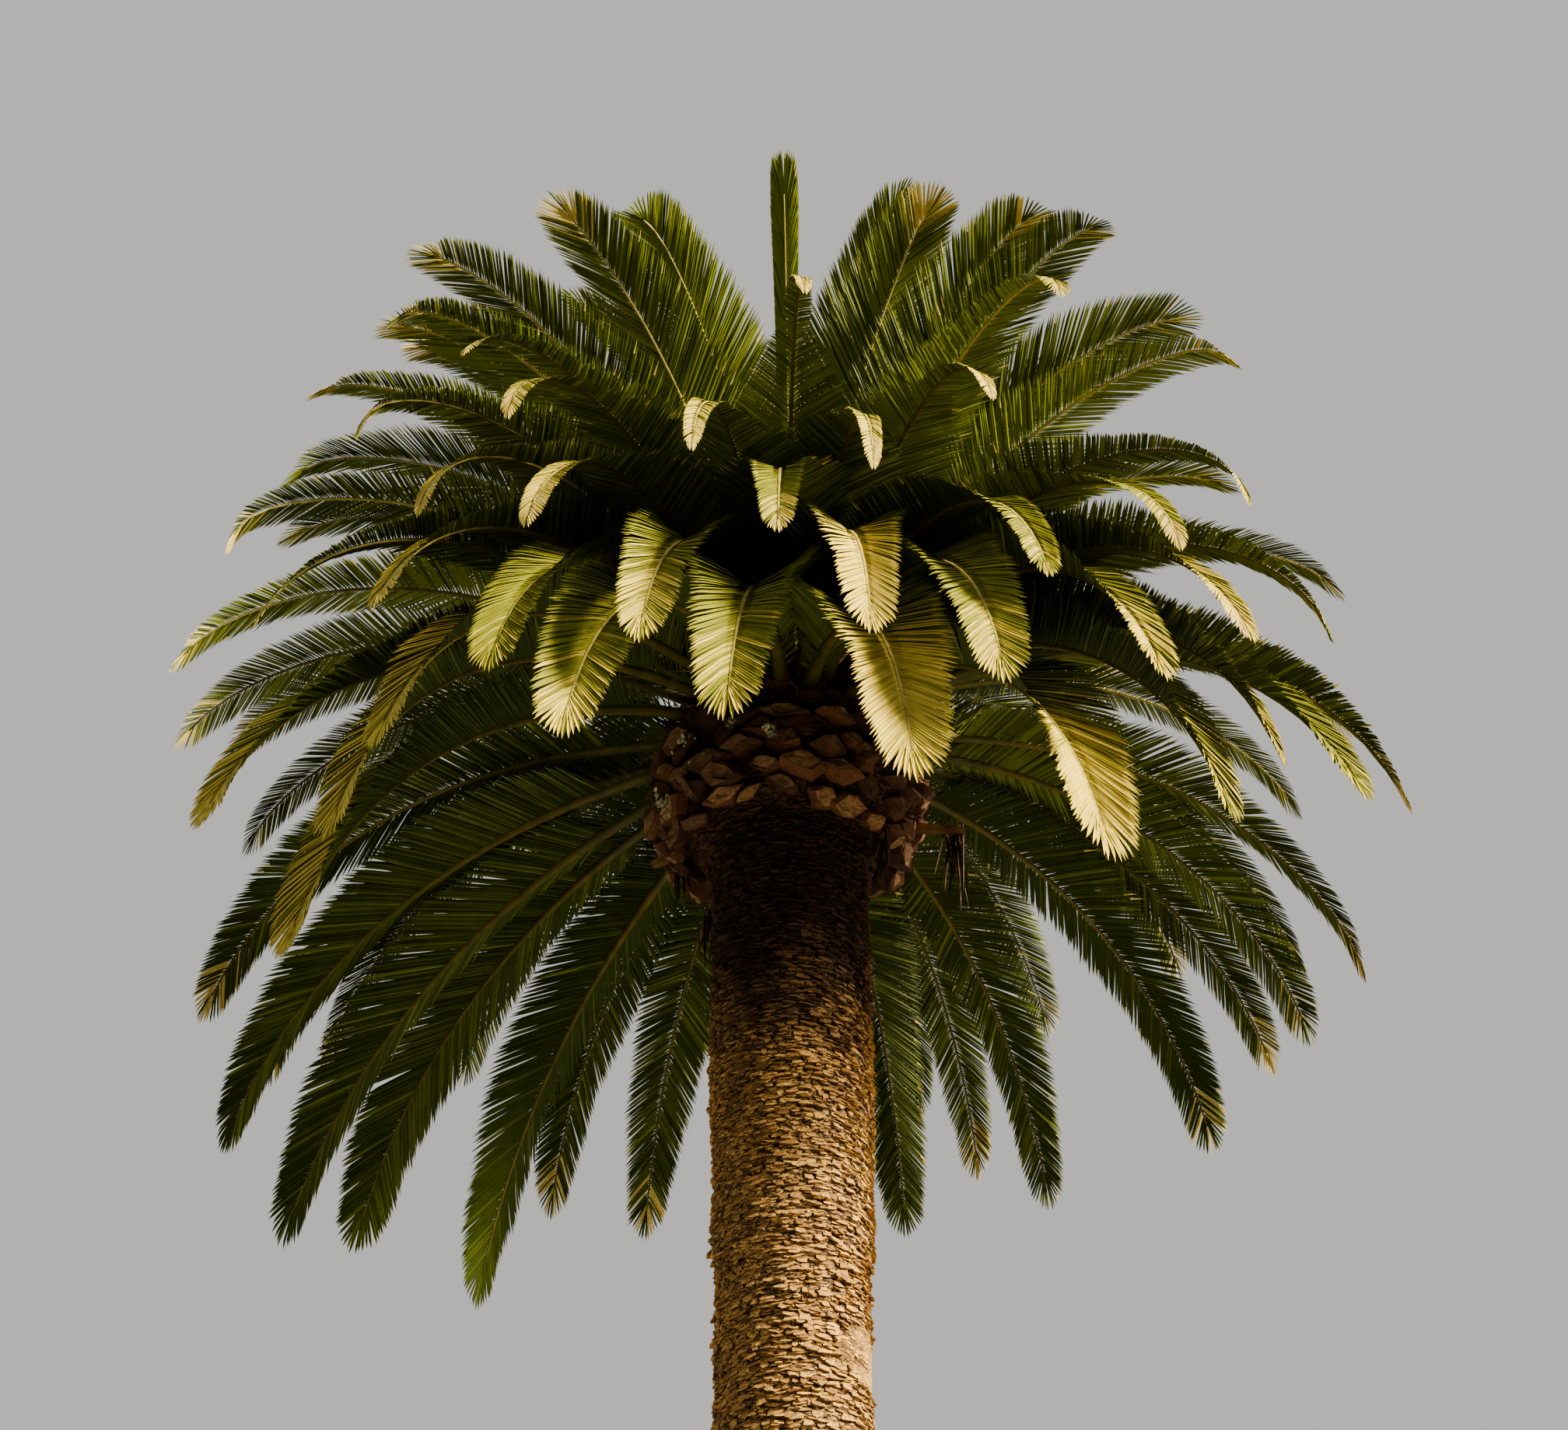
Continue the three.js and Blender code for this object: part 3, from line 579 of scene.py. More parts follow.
# %% One blade's faces: three folded sections of four corners, closed at the root, and a tip
BLADE_SECTIONS = 3
BLADE_CORNERS = BLADE_SECTIONS * 4 + 1
LAST = (BLADE_SECTIONS - 1) * 4
quads, quad_upper = [[0, 1, 2, 3]], [False]
for section in range(BLADE_SECTIONS - 1):
    for i in range(4):
        a, b = section * 4 + i, section * 4 + (i + 1) % 4
        quads.append([a, a + 4, b + 4, b])
        quad_upper.append(i < 2)
BLADE_QUADS, QUAD_UPPER = np.array(quads), np.array(quad_upper)
BLADE_TIPS = np.array([[LAST + i, BLADE_CORNERS - 1, LAST + (i + 1) % 4] for i in range(4)])
TIP_UPPER = np.array([True, True, False, False])


def blade_faces(count):
    first = np.arange(count)[:, None, None] * BLADE_CORNERS
    return [(first + BLADE_QUADS).reshape(-1, 4), (first + BLADE_TIPS).reshape(-1, 3)]


print("a blade has", len(BLADE_QUADS) + len(BLADE_TIPS), "faces")

# %% Lay folded blades from their roots along their directions
SECTION_PLACES = (0.0, 0.2, 0.8)
SECTION_WIDTHS = (0.5, 1.0, 0.8)
FOLD, BLADE_BACK = 0.7, 1.2
BENDS_BACK, HANGS = 0.4, 0.6


def folded_blades(root, direction, normal, reach, width, sag):
    across = np.cross(direction, normal)
    bent = -(normal * BENDS_BACK + np.array([0, 0, HANGS])) * sag[:, None]
    corners = np.empty((len(root), BLADE_CORNERS, 3))
    for k, (s, wide) in enumerate(zip(SECTION_PLACES, SECTION_WIDTHS)):
        middle = root + (direction * s + bent * s * s) * reach[:, None]
        half = (width * wide / 2)[:, None]
        corners[:, k * 4 + 0] = middle + across * half + normal * half * FOLD
        corners[:, k * 4 + 1] = middle + normal * BLADE_BACK
        corners[:, k * 4 + 2] = middle - across * half + normal * half * FOLD
        corners[:, k * 4 + 3] = middle - normal * BLADE_BACK
    corners[:, -1] = root + (direction + bent) * reach[:, None]
    return corners


print("a blade is widest at", SECTION_PLACES[1], "of its length")

# %% Stand blades on both sides of a rib: swept towards its tip and raised above it, in degrees
def on_rib(frond, t, sign, sweep, rise, seat):
    forward, up, side = rib_axes(frond, t)
    sweep, rise = np.radians(sweep)[:, None], np.radians(rise)[:, None]
    outward = side * sign[:, None] * np.cos(rise) + up * np.sin(rise)
    direction = forward * np.cos(sweep) + outward * np.sin(sweep)
    normal = up * np.cos(rise) - side * sign[:, None] * np.sin(rise)
    root = rib_point(frond, t) + side * (sign * rib_width(frond, t) * seat)[:, None]
    return root, direction, normal


LEAFLETS_FROM, RIB_END = 0.15, 0.952
print("leaflets stand from", LEAFLETS_FROM, "to", RIB_END, "of a rib")

# %% How leaflets change along a frond, and how the frond's age changes that
# A row of a plan is a place on the blade, then length, sweep and rise there; the spear's lengths
# are in millimetres and the others a share. The lists run from the youngest frond to the oldest.
# Fronds that reach to the front narrow more towards their ends than those at the sides.
PER_SIDE, CLOSER_OUT = 165, 0.96
LEAFLET_LENGTH, LEAFLET_WIDTH = 400, 20
BLADE_PLAN = np.array([
    (0.0, 0.6, 54, 36), (0.1, 0.86, 50, 35), (0.25, 1.0, 46, 33), (0.45, 1.0, 43, 29), (0.65, 0.9, 38, 24),
    (0.82, 0.74, 34, 17), (0.93, 0.58, 33, 10), (0.97, 0.5, 32, 6), (1.0, 0.46, 3, 2),
])
SPEAR_PLAN = np.array([
    (0.0, 300, 9, 8), (0.5, 300, 11, 9), (0.85, 330, 14, 10), (0.93, 330, 13, 10),
    (0.97, 300, 11, 8), (1.0, 250, 2, 0),
])
REACH_BY_AGE = [1.0, 1.22, 1.15, 1.0, 0.96, 1.0, 1.1, 1.15]
WIDE_BY_AGE = [0.9, 0.9, 0.9, 0.9, 0.95, 1.0, 1.1, 1.15]
END_WIDE_BY_AGE = [0.8, 0.75, 0.6, 0.5, 0.48, 0.52, 0.75, 0.85]
RISE_BY_AGE = [0, 0, -6, -15, -17, -12, -2, 0]
SWEEP_BY_AGE, USUAL_SWEEP = [0, 0, 4, 10, 11, 8, 2, 0], 45
NARROW_END_BY_AGE = [0, 0.0, 0.05, 0.4, 0.74, 0.74, 0.3, 0]
NARROW_FROM, NARROW_OVER, SIDE_NARROWING = 0.3, 0.3, 0.3
LEAFLET_SEAT, LEAFLET_SAG = 0.27, (0.01, 0.07)
PLACE_VARIES, SWEEP_VARIES, RISE_VARIES = 0.0006, 0.8, 1.5
LENGTH_VARIES, WIDTH_VARIES = (0.95, 1.03), (0.88, 1.1)
SWAY_KNOTS, SWAY_DEGREES = 9, 2.2
print(2 * PER_SIDE * len(crown), "leaflets of up to", LEAFLET_LENGTH * max(REACH_BY_AGE), "mm to lay")

# %% The leaflets of one frond, two close ranks that stand up a little from the rib
rng = np.random.default_rng(SEED)


def plan(table, out):
    return (np.interp(out, table[:, 0], table[:, k]) for k in (1, 2, 3))


def smooth_noise(count, knots, size):
    return np.interp(np.linspace(0, knots, count), np.arange(knots + 1), rng.normal(0, size, knots + 1))


def leaflets(frond):
    out = np.repeat(np.linspace(0, 1, PER_SIDE) ** CLOSER_OUT, 2)
    sway = [smooth_noise(PER_SIDE, SWAY_KNOTS, SWAY_DEGREES) for _ in range(4)]
    sign = np.tile([1.0, -1.0], PER_SIDE)
    count = len(out)
    t = np.clip(mix(LEAFLETS_FROM, RIB_END, out) + rng.normal(0, PLACE_VARIES, count), 0, RIB_END)
    grown = frond["age"] / OLDEST
    reach, sweep, rise = plan(BLADE_PLAN, out)
    to_front = mix(SIDE_NARROWING, 1, max(0, -math.sin(math.radians(frond["bearing"]))) ** 2)
    near_end = np.clip((out - NARROW_FROM) / NARROW_OVER, 0, 1)
    reach = LEAFLET_LENGTH * reach * along(REACH_BY_AGE, grown)
    reach *= 1 - to_front * along(NARROW_END_BY_AGE, grown) * near_end
    reach *= rng.uniform(*LENGTH_VARIES, count)
    sweep = sweep * (1 + along(SWEEP_BY_AGE, grown) / USUAL_SWEEP) + np.stack(sway[:2], 1).ravel()
    sweep += rng.normal(0, SWEEP_VARIES, count)
    rise = rise + along(RISE_BY_AGE, grown) + np.stack(sway[2:], 1).ravel()
    rise += rng.normal(0, RISE_VARIES, count)
    if frond["spear"]:
        reach, sweep, rise = plan(SPEAR_PLAN, out)
    width = LEAFLET_WIDTH * along(WIDE_BY_AGE, grown) * mix(1, along(END_WIDE_BY_AGE, grown), out)
    width *= rng.uniform(*WIDTH_VARIES, count)
    sag = rng.uniform(*LEAFLET_SAG, count)
    return folded_blades(*on_rib(frond, t, sign, sweep, rise, LEAFLET_SEAT), reach, width, sag), out


print("each side of a frond has", PER_SIDE, "leaflets")

# %% Stiff spines stand on the lower stalk, where leaflets never opened
SPINES_A_SIDE, SPINES_FROM, SPINE_SEAT = 12, 0.06, 0.42
SPINE_LENGTH, SPINE_WIDTH = [60, 110, 160, 210], 9
SPINE_SWEEP, SPINE_RISE, SPINE_VARIES = (50, 9), (35, 16), (0.8, 1.15)


def spines(frond):
    place = np.repeat(np.linspace(0, 1, SPINES_A_SIDE), 2)
    sign = np.tile([1.0, -1.0], SPINES_A_SIDE)
    count = len(place)
    t = mix(SPINES_FROM, LEAFLETS_FROM, place)
    sweep, rise = rng.normal(*SPINE_SWEEP, count), rng.normal(*SPINE_RISE, count)
    reach = along(SPINE_LENGTH, place) * rng.uniform(*SPINE_VARIES, count)
    width, sag = np.full(count, SPINE_WIDTH), np.zeros(count)
    return folded_blades(*on_rib(frond, t, sign, sweep, rise, SPINE_SEAT), reach, width, sag)


print("each side of a stalk has", SPINES_A_SIDE, "spines")

# %% Tone of each leaflet: old fronds are deeper and duller, young ones fresher
# The first three tones are for the under side, picked by limits of freshness. Where young fronds
# shade those below them, the inner leaflets get a lighter under tone, painted light in that shade.
# The upper face turns yellow towards the end of a frond, partly its own colour and partly painted
# sunlight on the tips, and on some fronds the last leaflets have dried to straw.
FRESH, FADES = 0.8, 0.62
LEAFLET_FRESHNESS, FROND_FRESHNESS = 0.18, 0.08
UNDER_LIMITS = [0.36, 0.62]
SHADED_AGES, SHADED_PAINTED_LIGHTER = (5, 11), 0.35
PALE_OUT, PALE_LEAFLETS, PALE_FRONDS, YELLOW_FROM = 0.9, 0.13, (-0.3, 0.35), 0.72
DRY_END_FROM, DRY_END_AGES = 0.88, (2, 12)


def leaflet_tones(frond, out):
    freshness = rng.normal(0, LEAFLET_FRESHNESS, len(out)) + rng.normal(0, FROND_FRESHNESS)
    freshness += FRESH - FADES * frond["age"] / OLDEST
    if SHADED_AGES[0] < frond["age"] < SHADED_AGES[1]:
        # Painted light: the inner leaflets of shaded fronds get a lighter under tone.
        freshness += SHADED_PAINTED_LIGHTER * (1 - out)
    under = np.digitize(freshness, UNDER_LIMITS)
    # Yellow towards the tips: partly the leaf's own colour, partly painted sunlight.
    pale = PALE_OUT * out + rng.normal(0, PALE_LEAFLETS, len(out)) + rng.uniform(*PALE_FRONDS)
    upper = np.where(pale > YELLOW_FROM, UPPER_YELLOW_AND_SUNLIT, UPPER_GREEN)
    share = rng.random() * (DRY_END_AGES[0] <= frond["age"] < DRY_END_AGES[1])
    dried = rng.random(len(out)) < share * np.clip((out - DRY_END_FROM) / (1 - DRY_END_FROM), 0, 1)
    return np.where(dried, STRAW, under), np.where(dried, STRAW, upper)


print("leaflets are dealt", STRAW + 1, "tones")

# %% Deal the fronds into pieces of under 200,000 triangles
NODES_A_PIECE = 12
DRY_TIPS = 0.05
order = {name: i for i, name in enumerate(sorted(solid_corners))}
groups = {}
for frond in crown:
    groups.setdefault(order[frond["node"]] // NODES_A_PIECE, []).append(frond)
for number, members in sorted(groups.items()):
    all_blades, quad_tones, tip_tones = [], [], []
    for frond in members:
        opened, out = leaflets(frond)
        blades = np.concatenate([opened, spines(frond)])
        out = np.concatenate([out, np.zeros(len(blades) - len(out))])
        under, upper = (tone[:, None] for tone in leaflet_tones(frond, out))
        dry = (rng.random(len(out)) < DRY_TIPS * (frond["age"] < DRY_END_AGES[1]))[:, None]
        all_blades.append(blades)
        quad_tones.append(np.where(QUAD_UPPER, upper, under).ravel())
        tip_tones.append(np.where(dry, STRAW, np.where(TIP_UPPER, upper, under)).ravel())
    all_blades = np.concatenate(all_blades)
    piece = mesh_object(
        f"leaflets_{number + 1}", all_blades, blade_faces(len(all_blades)), leaf_materials,
        np.concatenate(quad_tones + tip_tones),
    )
    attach(piece, "root")
    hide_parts(*sorted({frond["node"] for frond in members}))

# %% [markdown]
# ## Ribs and stalks
# The stalk is broad and flat above with a keel below, and thins to a fine rib at the tip. Its
# root spreads into the sheath that clasped the stem. Skinning each section with six corners is
# enough for something this slim. The stalk is brown at its root and olive above; the rib is straw
# below and bleached to cream above. On young fronds it is cream all round, partly its pale colour
# and partly painted light on undersides that lie in shade.

# %% Rib of one frond as a tube of six-cornered rings, closed at both ends
def tube_faces(rings, sides, count):
    ring, side = (grid.ravel() for grid in np.mgrid[0:rings - 1, 0:sides])
    a, b = ring * sides + side, ring * sides + (side + 1) % sides
    quads = np.stack([a, a + sides, b + sides, b], -1)
    last = (rings - 1) * sides
    ends = np.array([range(sides), range(last + sides - 1, last - 1, -1)])
    first = np.arange(count)[:, None, None] * rings * sides
    return [(first + quads).reshape(-1, 4), (first + ends).reshape(-1, sides)]


RIB_OUTLINE = np.array([(1.0, 0.25), (0.55, 0.4), (-0.55, 0.4), (-1.0, 0.25), (-0.42, -0.5), (0.42, -0.5)])
SIDES, UPPER_SIDES = len(RIB_OUTLINE), 3
STALK_PLACES, FIRST_ON_BLADE, BLADE_RINGS = [0.0, 0.015, 0.035, 0.06, 0.09, 0.13, 0.17], 0.21, 18
RIB_PLACES = np.concatenate([STALK_PLACES, np.linspace(FIRST_ON_BLADE, RIB_END, BLADE_RINGS)])
ROOT_DEPTH = 60
SHEATH_FLARE, SHEATH_END = 0.8, 0.035
FOOT_FLARE, FOOT_END = 0.35, 0.12
SLIMMER, SLIMMER_OVER = 0.3, 0.3
THICK_SHARE, THICK_FLARE, THICK_END, THINNEST = 0.62, 0.2, 0.03, 8


def rib_tube(frond):
    t = RIB_PLACES
    forward, up, side = rib_axes(frond, t)
    middle = rib_point(frond, t)
    middle[0] -= forward[0] * ROOT_DEPTH
    flare = 1 + SHEATH_FLARE * np.exp(-t / SHEATH_END) + FOOT_FLARE * np.exp(-t / FOOT_END)
    width = rib_width(frond, t) * flare * (1 - SLIMMER * np.clip((t - STALK_END) / SLIMMER_OVER, 0, 1))
    thick = rib_width(frond, t) * THICK_SHARE * (1 + THICK_FLARE * np.exp(-t / THICK_END))
    thick = np.maximum(thick, THINNEST)
    across = side[:, None] * (RIB_OUTLINE[:, 0] * width[:, None] / 2)[..., None]
    over = up[:, None] * (RIB_OUTLINE[:, 1] * thick[:, None])[..., None]
    return middle[:, None] + across + over


print("a rib has", len(RIB_PLACES), "sections")

# %% All ribs in one mesh, each face in the tone of its place
BROWN_UNTIL = 0.03
PAINTED_PALE_RIB_AGE = 7.5
place_tones = np.repeat(np.digitize(RIB_PLACES[:-1], [BROWN_UNTIL, STALK_END]), SIDES)
rib_above = np.tile(np.arange(SIDES) < UPPER_SIDES, len(RIB_PLACES) - 1)
place_tones = np.where(rib_above & (place_tones == RIB_STRAW), RIB_CREAM, place_tones)
# Young ribs are cream below as well: painted light on their shaded undersides.
tones = [
    np.where((place_tones == RIB_STRAW) & (frond["age"] < PAINTED_PALE_RIB_AGE), RIB_CREAM, place_tones)
    for frond in crown
]
end_tones = np.full(2 * len(crown), ROOT_BROWN)
ribs = mesh_object(
    "leaf_stalks_and_ribs", np.array([rib_tube(frond) for frond in crown]),
    tube_faces(len(RIB_PLACES), SIDES, len(crown)), stalk_materials,
    np.concatenate(tones + [end_tones]), smooth=True,
)
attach(ribs, "root")
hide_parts(*sorted(solid_corners))

# %% [markdown]
# ## The trunk
# Every fallen leaf has left a scar whose dry edge peels off in flakes, wider than they are high,
# each with a dark gap below its lower edge. Two things make that: a fine grid wrapped round the
# stem and pushed in and out in wavy rows, and thousands of loose flakes, thin wedges that hang
# from their upper edge and stand off at the lower one.

# %% The profile of the trunk: radius at each height
TRUNK_PROFILE = [
    [0, 520], [160, 468], [400, 430], [800, 398], [1300, 374], [1900, 354], [2600, 341],
    [3400, 334], [4200, 330], [4810, 329], [5060, 331], [5410, 326], [5520, 345], [5600, 357],
    [5700, 352], [5860, 343], [6060, 356], [6270, 371], [6670, 368], [7100, 366], [7380, 372],
    [7480, 384], [TRUNK_HEIGHT, 402],
]
FLARE_HEIGHT = 900
LOBES, FOOT_LOBES, STEM_LOBES = 3, 0.032, 0.012


def trunk_radius(turn, z):
    heights, radii = zip(*TRUNK_PROFILE)
    lobes = np.where(z < FLARE_HEIGHT, FOOT_LOBES, STEM_LOBES)
    return np.interp(z, heights, radii) * (1 + lobes * np.sin(LOBES * turn + z / FLARE_HEIGHT))


print("the trunk is", 2 * min(radius for _, radius in TRUNK_PROFILE), "mm thick where it is slimmest")

# %% Soft random waves round the stem, alone and added up from a table
# Each row of such a table is a strength, a count round the stem, a height in mm and a seed.
WAVES_TOP = 9600
FULL_TURN = 2 * np.pi


def waves(turn, z, columns, height, seed):
    rows = int(WAVES_TOP / height) + 2
    values = np.random.default_rng(seed).uniform(-1, 1, (rows, columns))
    u, v = turn / FULL_TURN * columns, z / height
    column, row = np.floor(u).astype(int), np.clip(np.floor(v).astype(int), 0, rows - 2)
    a, b = eased(u - column), eased(v - row)
    column, after = column % columns, (column + 1) % columns
    low = mix(values[row, column], values[row, after], a)
    return mix(low, mix(values[row + 1, column], values[row + 1, after], a), b)


def add_waves(start, turn, z, table):
    return sum((strength * waves(turn, z, *wave) for strength, *wave in table), start)


print("waves run up to", WAVES_TOP, "mm")

# %% One layer of crescent ledges: each stands out most at its curved lower edge
EDGE_WANDERS, WANDER_HEIGHT, SEAM_WANDERS = 0.45, 2.2, 0.4
BOW_LEAST, BOW_VARIES = 0.06, 0.22
LIFT_LEAST, LIFT_VARIES, TORN_LIFT, TORN_FROM = 0.3, 0.9, 0.9, 0.86
GAP_SUNK, LEDGE_SUNK = 0.5, 0.4
SHADE_FROM, SHADE_OVER, SHADE_MOST = 0.7, 0.3, 0.5


def ledges(turn, z, columns, height, proud, seed):
    rows, sizes = int(WAVES_TOP / height), np.random.default_rng(seed)
    tall = z / height + EDGE_WANDERS * waves(turn, z, columns, height * WANDER_HEIGHT, seed + 1)
    row = np.clip(np.floor(tall).astype(int), 0, rows - 1)
    wide = turn / FULL_TURN * columns + sizes.random(rows)[row]
    wide += SEAM_WANDERS * waves(turn, z, columns, height, seed + 2)
    column = np.floor(wide).astype(int) % columns
    value = sizes.random((rows, columns, 2))[row, column]
    bow = (2 * (wide - np.floor(wide)) - 1) ** 2
    above_edge = tall - np.floor(tall) - (BOW_LEAST + BOW_VARIES * value[..., 1]) * bow
    gap = above_edge < 0
    up = np.clip(above_edge, 0, 1)
    lift = LIFT_LEAST + LIFT_VARIES * value[..., 0] + TORN_LIFT * (value[..., 1] > TORN_FROM)
    push = proud * np.where(gap, -GAP_SUNK, lift * (1 - up) - LEDGE_SUNK)
    # Depth is painted shade: full in the gap below each lower edge, and rising under the overhang of the
    # ledge above.
    depth = np.where(gap, 1.0, SHADE_MOST * np.clip((up - SHADE_FROM) / SHADE_OVER, 0, 1))
    return push, depth, value[..., 0]


print("a torn ledge stands out", TORN_LIFT, "of its measure more than its neighbours")

# %% Where the bark has worn smooth, and its relief: push, depth (painted shade in a crack), tint and cracking
SMOOTH_BELOW, SMOOTH_FADE, WORN_LESS = 5200, 150, -0.15
WORN_WAVES = [(1.5, 4, 130, 23), (1.7, 3, 620, 27), (1.1, 12, 60, 26)]
SAG_WAVES = [(26, 7, 300, 21), (12, 17, 140, 22)]
SWELL_WAVES = [(5, 12, 300, 24)]
LEDGES_ROUND, LEDGE_HEIGHT, LEDGE_PROUD, LEDGE_SEED = 28, 30, 13, 31
WORN_FLAT, WORN_CRACKS = 0.9, 0.7
TINT_LEAST, TINT_VARIES, TINT_WORN = 0.1, 0.6, 0.3


def worn_smooth(turn, z):
    patch = add_waves(0, turn, z, WORN_WAVES) + WORN_LESS
    return np.clip((SMOOTH_BELOW - z) / SMOOTH_FADE, 0, 1) * np.clip(patch, 0, 1)


def sagging(turn, z):
    return add_waves(z, turn, z, SAG_WAVES)


def bark_relief(turn, z):
    push, depth, tint = ledges(
        turn, sagging(turn, z), LEDGES_ROUND, LEDGE_HEIGHT, LEDGE_PROUD, LEDGE_SEED,
    )
    worn = worn_smooth(turn, z)
    left = 1 - WORN_FLAT * worn
    tint = np.clip(TINT_LEAST + TINT_VARIES * tint + TINT_WORN * worn, 0, 1)
    return add_waves(push * left, turn, z, SWELL_WAVES), depth * left, tint, 1 - WORN_CRACKS * worn


print("scars are", LEDGE_HEIGHT, "mm high,", LEDGES_ROUND, "to a row")

# %% Wrap a fine grid round the stem, close its seam and cap its ends
MERGE_METRES = 0.00002


def wrapped(name, low, high, columns, rows, material, shape):
    bpy.ops.object.select_all(action="DESELECT")
    bpy.ops.mesh.primitive_grid_add(x_subdivisions=columns, y_subdivisions=rows, size=2)
    made = bpy.context.object
    made.name = name
    mesh = made.data
    co = np.empty(len(mesh.vertices) * 3, np.float32)
    mesh.vertices.foreach_get("co", co)
    co = co.reshape(-1, 3).astype(float)
    turn = np.round((co[:, 0] + 1) / 2 * columns) % columns / columns * FULL_TURN
    z = mix(low, high, (co[:, 1] + 1) / 2)
    radius, *shades = shape(turn, z)
    placed = (stem_point(z) + outwards(turn) * radius[:, None]) / 1000
    mesh.vertices.foreach_set("co", placed.astype(np.float32).ravel())
    for key, values in zip(BARK_SHADES, shades):
        set_shade(mesh, key, values)
    bpy.ops.object.mode_set(mode="EDIT")
    bpy.ops.mesh.select_all(action="SELECT")
    bpy.ops.mesh.remove_doubles(threshold=MERGE_METRES)
    bpy.ops.mesh.select_all(action="DESELECT")
    bpy.ops.mesh.select_non_manifold()
    bpy.ops.mesh.edge_face_add()
    bpy.ops.mesh.select_all(action="SELECT")
    bpy.ops.mesh.normals_make_consistent(inside=False)
    bpy.ops.object.mode_set(mode="OBJECT")
    mesh.materials.append(material)
    mesh.polygons.foreach_set("use_smooth", np.full(len(mesh.polygons), False))
    mesh.calc_loop_triangles()
    print(name, len(mesh.loop_triangles), "triangles")
    return made


print("seams are closed where corners lie within", MERGE_METRES * 1000, "mm")

# %% Wrap the trunk in three pieces: foot and height in mm, then cells round it and up it
GROUND_FADE = 60


def bark_shape(turn, z):
    push, *shades = bark_relief(turn, z)
    return trunk_radius(turn, z) + push * np.clip(z / GROUND_FADE, 0, 1), *shades


TRUNK_PIECES = [
    ("trunk_lower_bark", 0, 2500, 140, 170),
    ("trunk_middle_bark", 2500, 5050, 170, 200),
    ("trunk_upper_bark", 5050, TRUNK_HEIGHT, 190, 250),
]
for name, low, high, columns, rows in TRUNK_PIECES:
    piece = wrapped(name, low, high, columns, rows, bark, bark_shape)
    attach(piece, "root")
    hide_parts("trunk")

# %% One loose flake: a thin wedge with a ragged lower edge that stands off, and a back
# For each corner: its place across and up the flake, how far it stands out, and how much painted
# shade it gets, most on its back against the stem.
FLAKE_OUTLINE = np.array([
    [-0.42, 1], [0.42, 1], [-0.5, 0], [0, -0.25], [0.5, 0], [-0.46, 0.12], [0, -0.1], [0.46, 0.12],
])
FLAKE_OUT = np.array([-0.2, -0.2, 0.75, 1, 0.75, -0.7, -0.7, -0.7])
FLAKE_PAINTED_SHADE = np.array([0.3, 0.3, 0, 0, 0, 1, 1, 1])
FLAKE_TRIS = np.array([
    [0, 2, 3], [0, 3, 1], [1, 3, 4], [2, 5, 6], [2, 6, 3], [3, 6, 7], [3, 7, 4],
    [0, 5, 2], [1, 4, 7], [0, 1, 6], [0, 6, 5], [1, 7, 6],
])
FLAKE_CORNERS = len(FLAKE_OUTLINE)
FLAKE_WIDE, FLAKE_TALL, FLAKE_PROUD = 48, 22, 16
print("a flake has", len(FLAKE_TRIS), "faces")

# %% Loose flakes in staggered rows, fewer where the bark has worn smooth, more ragged high up
FLAKE_COLUMNS, FLAKE_PITCH, FLAKE_SHARE = 50, 18, 0.85
ROW_VARIES, COLUMN_VARIES, CORNER_VARIES, FLAKE_SKEW = 0.28, 0.22, 0.12, 30
SMALLEST, LARGEST = [0.5, 0.55, 0.25], [1.35, 1.3, 1.3]
SMOOTH_FROM, SMOOTH_LOSES = 0.25, 0.95
RAGGED_FROM, RAGGED_OVER, RAGGED_MORE = 6000, 900, 0.45
LOWER_EDGE, FLAKE_PALEST = 0.05, 1.1


def loose_flakes(name, low, high, material, shape, seed):
    chips = np.random.default_rng(seed)
    rows = int((high - low) / FLAKE_PITCH)
    row, column = (grid.ravel() for grid in np.mgrid[0:rows, 0:FLAKE_COLUMNS])
    row = row + 0.5 + chips.normal(0, ROW_VARIES, len(row))
    turn = (column + row / 2 + chips.normal(0, COLUMN_VARIES, len(row))) / FLAKE_COLUMNS * FULL_TURN
    z = low + row * FLAKE_PITCH
    z = np.clip(2 * z - sagging(turn, z), low, high - FLAKE_TALL)
    smooth = worn_smooth(turn, z) > SMOOTH_FROM
    kept = chips.random(len(z)) < FLAKE_SHARE * (1 - SMOOTH_LOSES * smooth)
    turn, z = turn[kept], z[kept]
    count = len(z)
    wide, tall, proud = np.split(chips.uniform(SMALLEST, LARGEST, (count, 3)), 3, axis=1)
    ragged = 1 + RAGGED_MORE * np.clip((z - RAGGED_FROM) / RAGGED_OVER, 0, 1)
    frayed = chips.normal(0, CORNER_VARIES, (count, FLAKE_CORNERS, 2))
    outline = FLAKE_OUTLINE + frayed * (FLAKE_OUTLINE[:, 1:] < LOWER_EDGE)
    radius = shape(turn, z)[0][:, None]
    aside = outline[..., 0] * (FLAKE_WIDE * wide) / radius
    skew = chips.normal(0, FLAKE_SKEW, (count, 1))
    height = z[:, None] + outline[..., 1] * FLAKE_TALL * tall + aside * skew
    height = np.maximum(height, 0)
    out = radius + FLAKE_OUT * FLAKE_PROUD * proud * ragged[:, None]
    corners = stem_point(height) + outwards(turn[:, None] + aside) * out[..., None]
    tris = (np.arange(count)[:, None, None] * FLAKE_CORNERS + FLAKE_TRIS).reshape(-1, 3)
    # The depth attribute is painted shade, darkest on the flake's back against the stem.
    return mesh_object(
        name, corners, [tris], [material], np.zeros(len(tris)), depth=np.tile(FLAKE_PAINTED_SHADE, count),
        tint=np.repeat(chips.uniform(0, FLAKE_PALEST, count), FLAKE_CORNERS),
    )


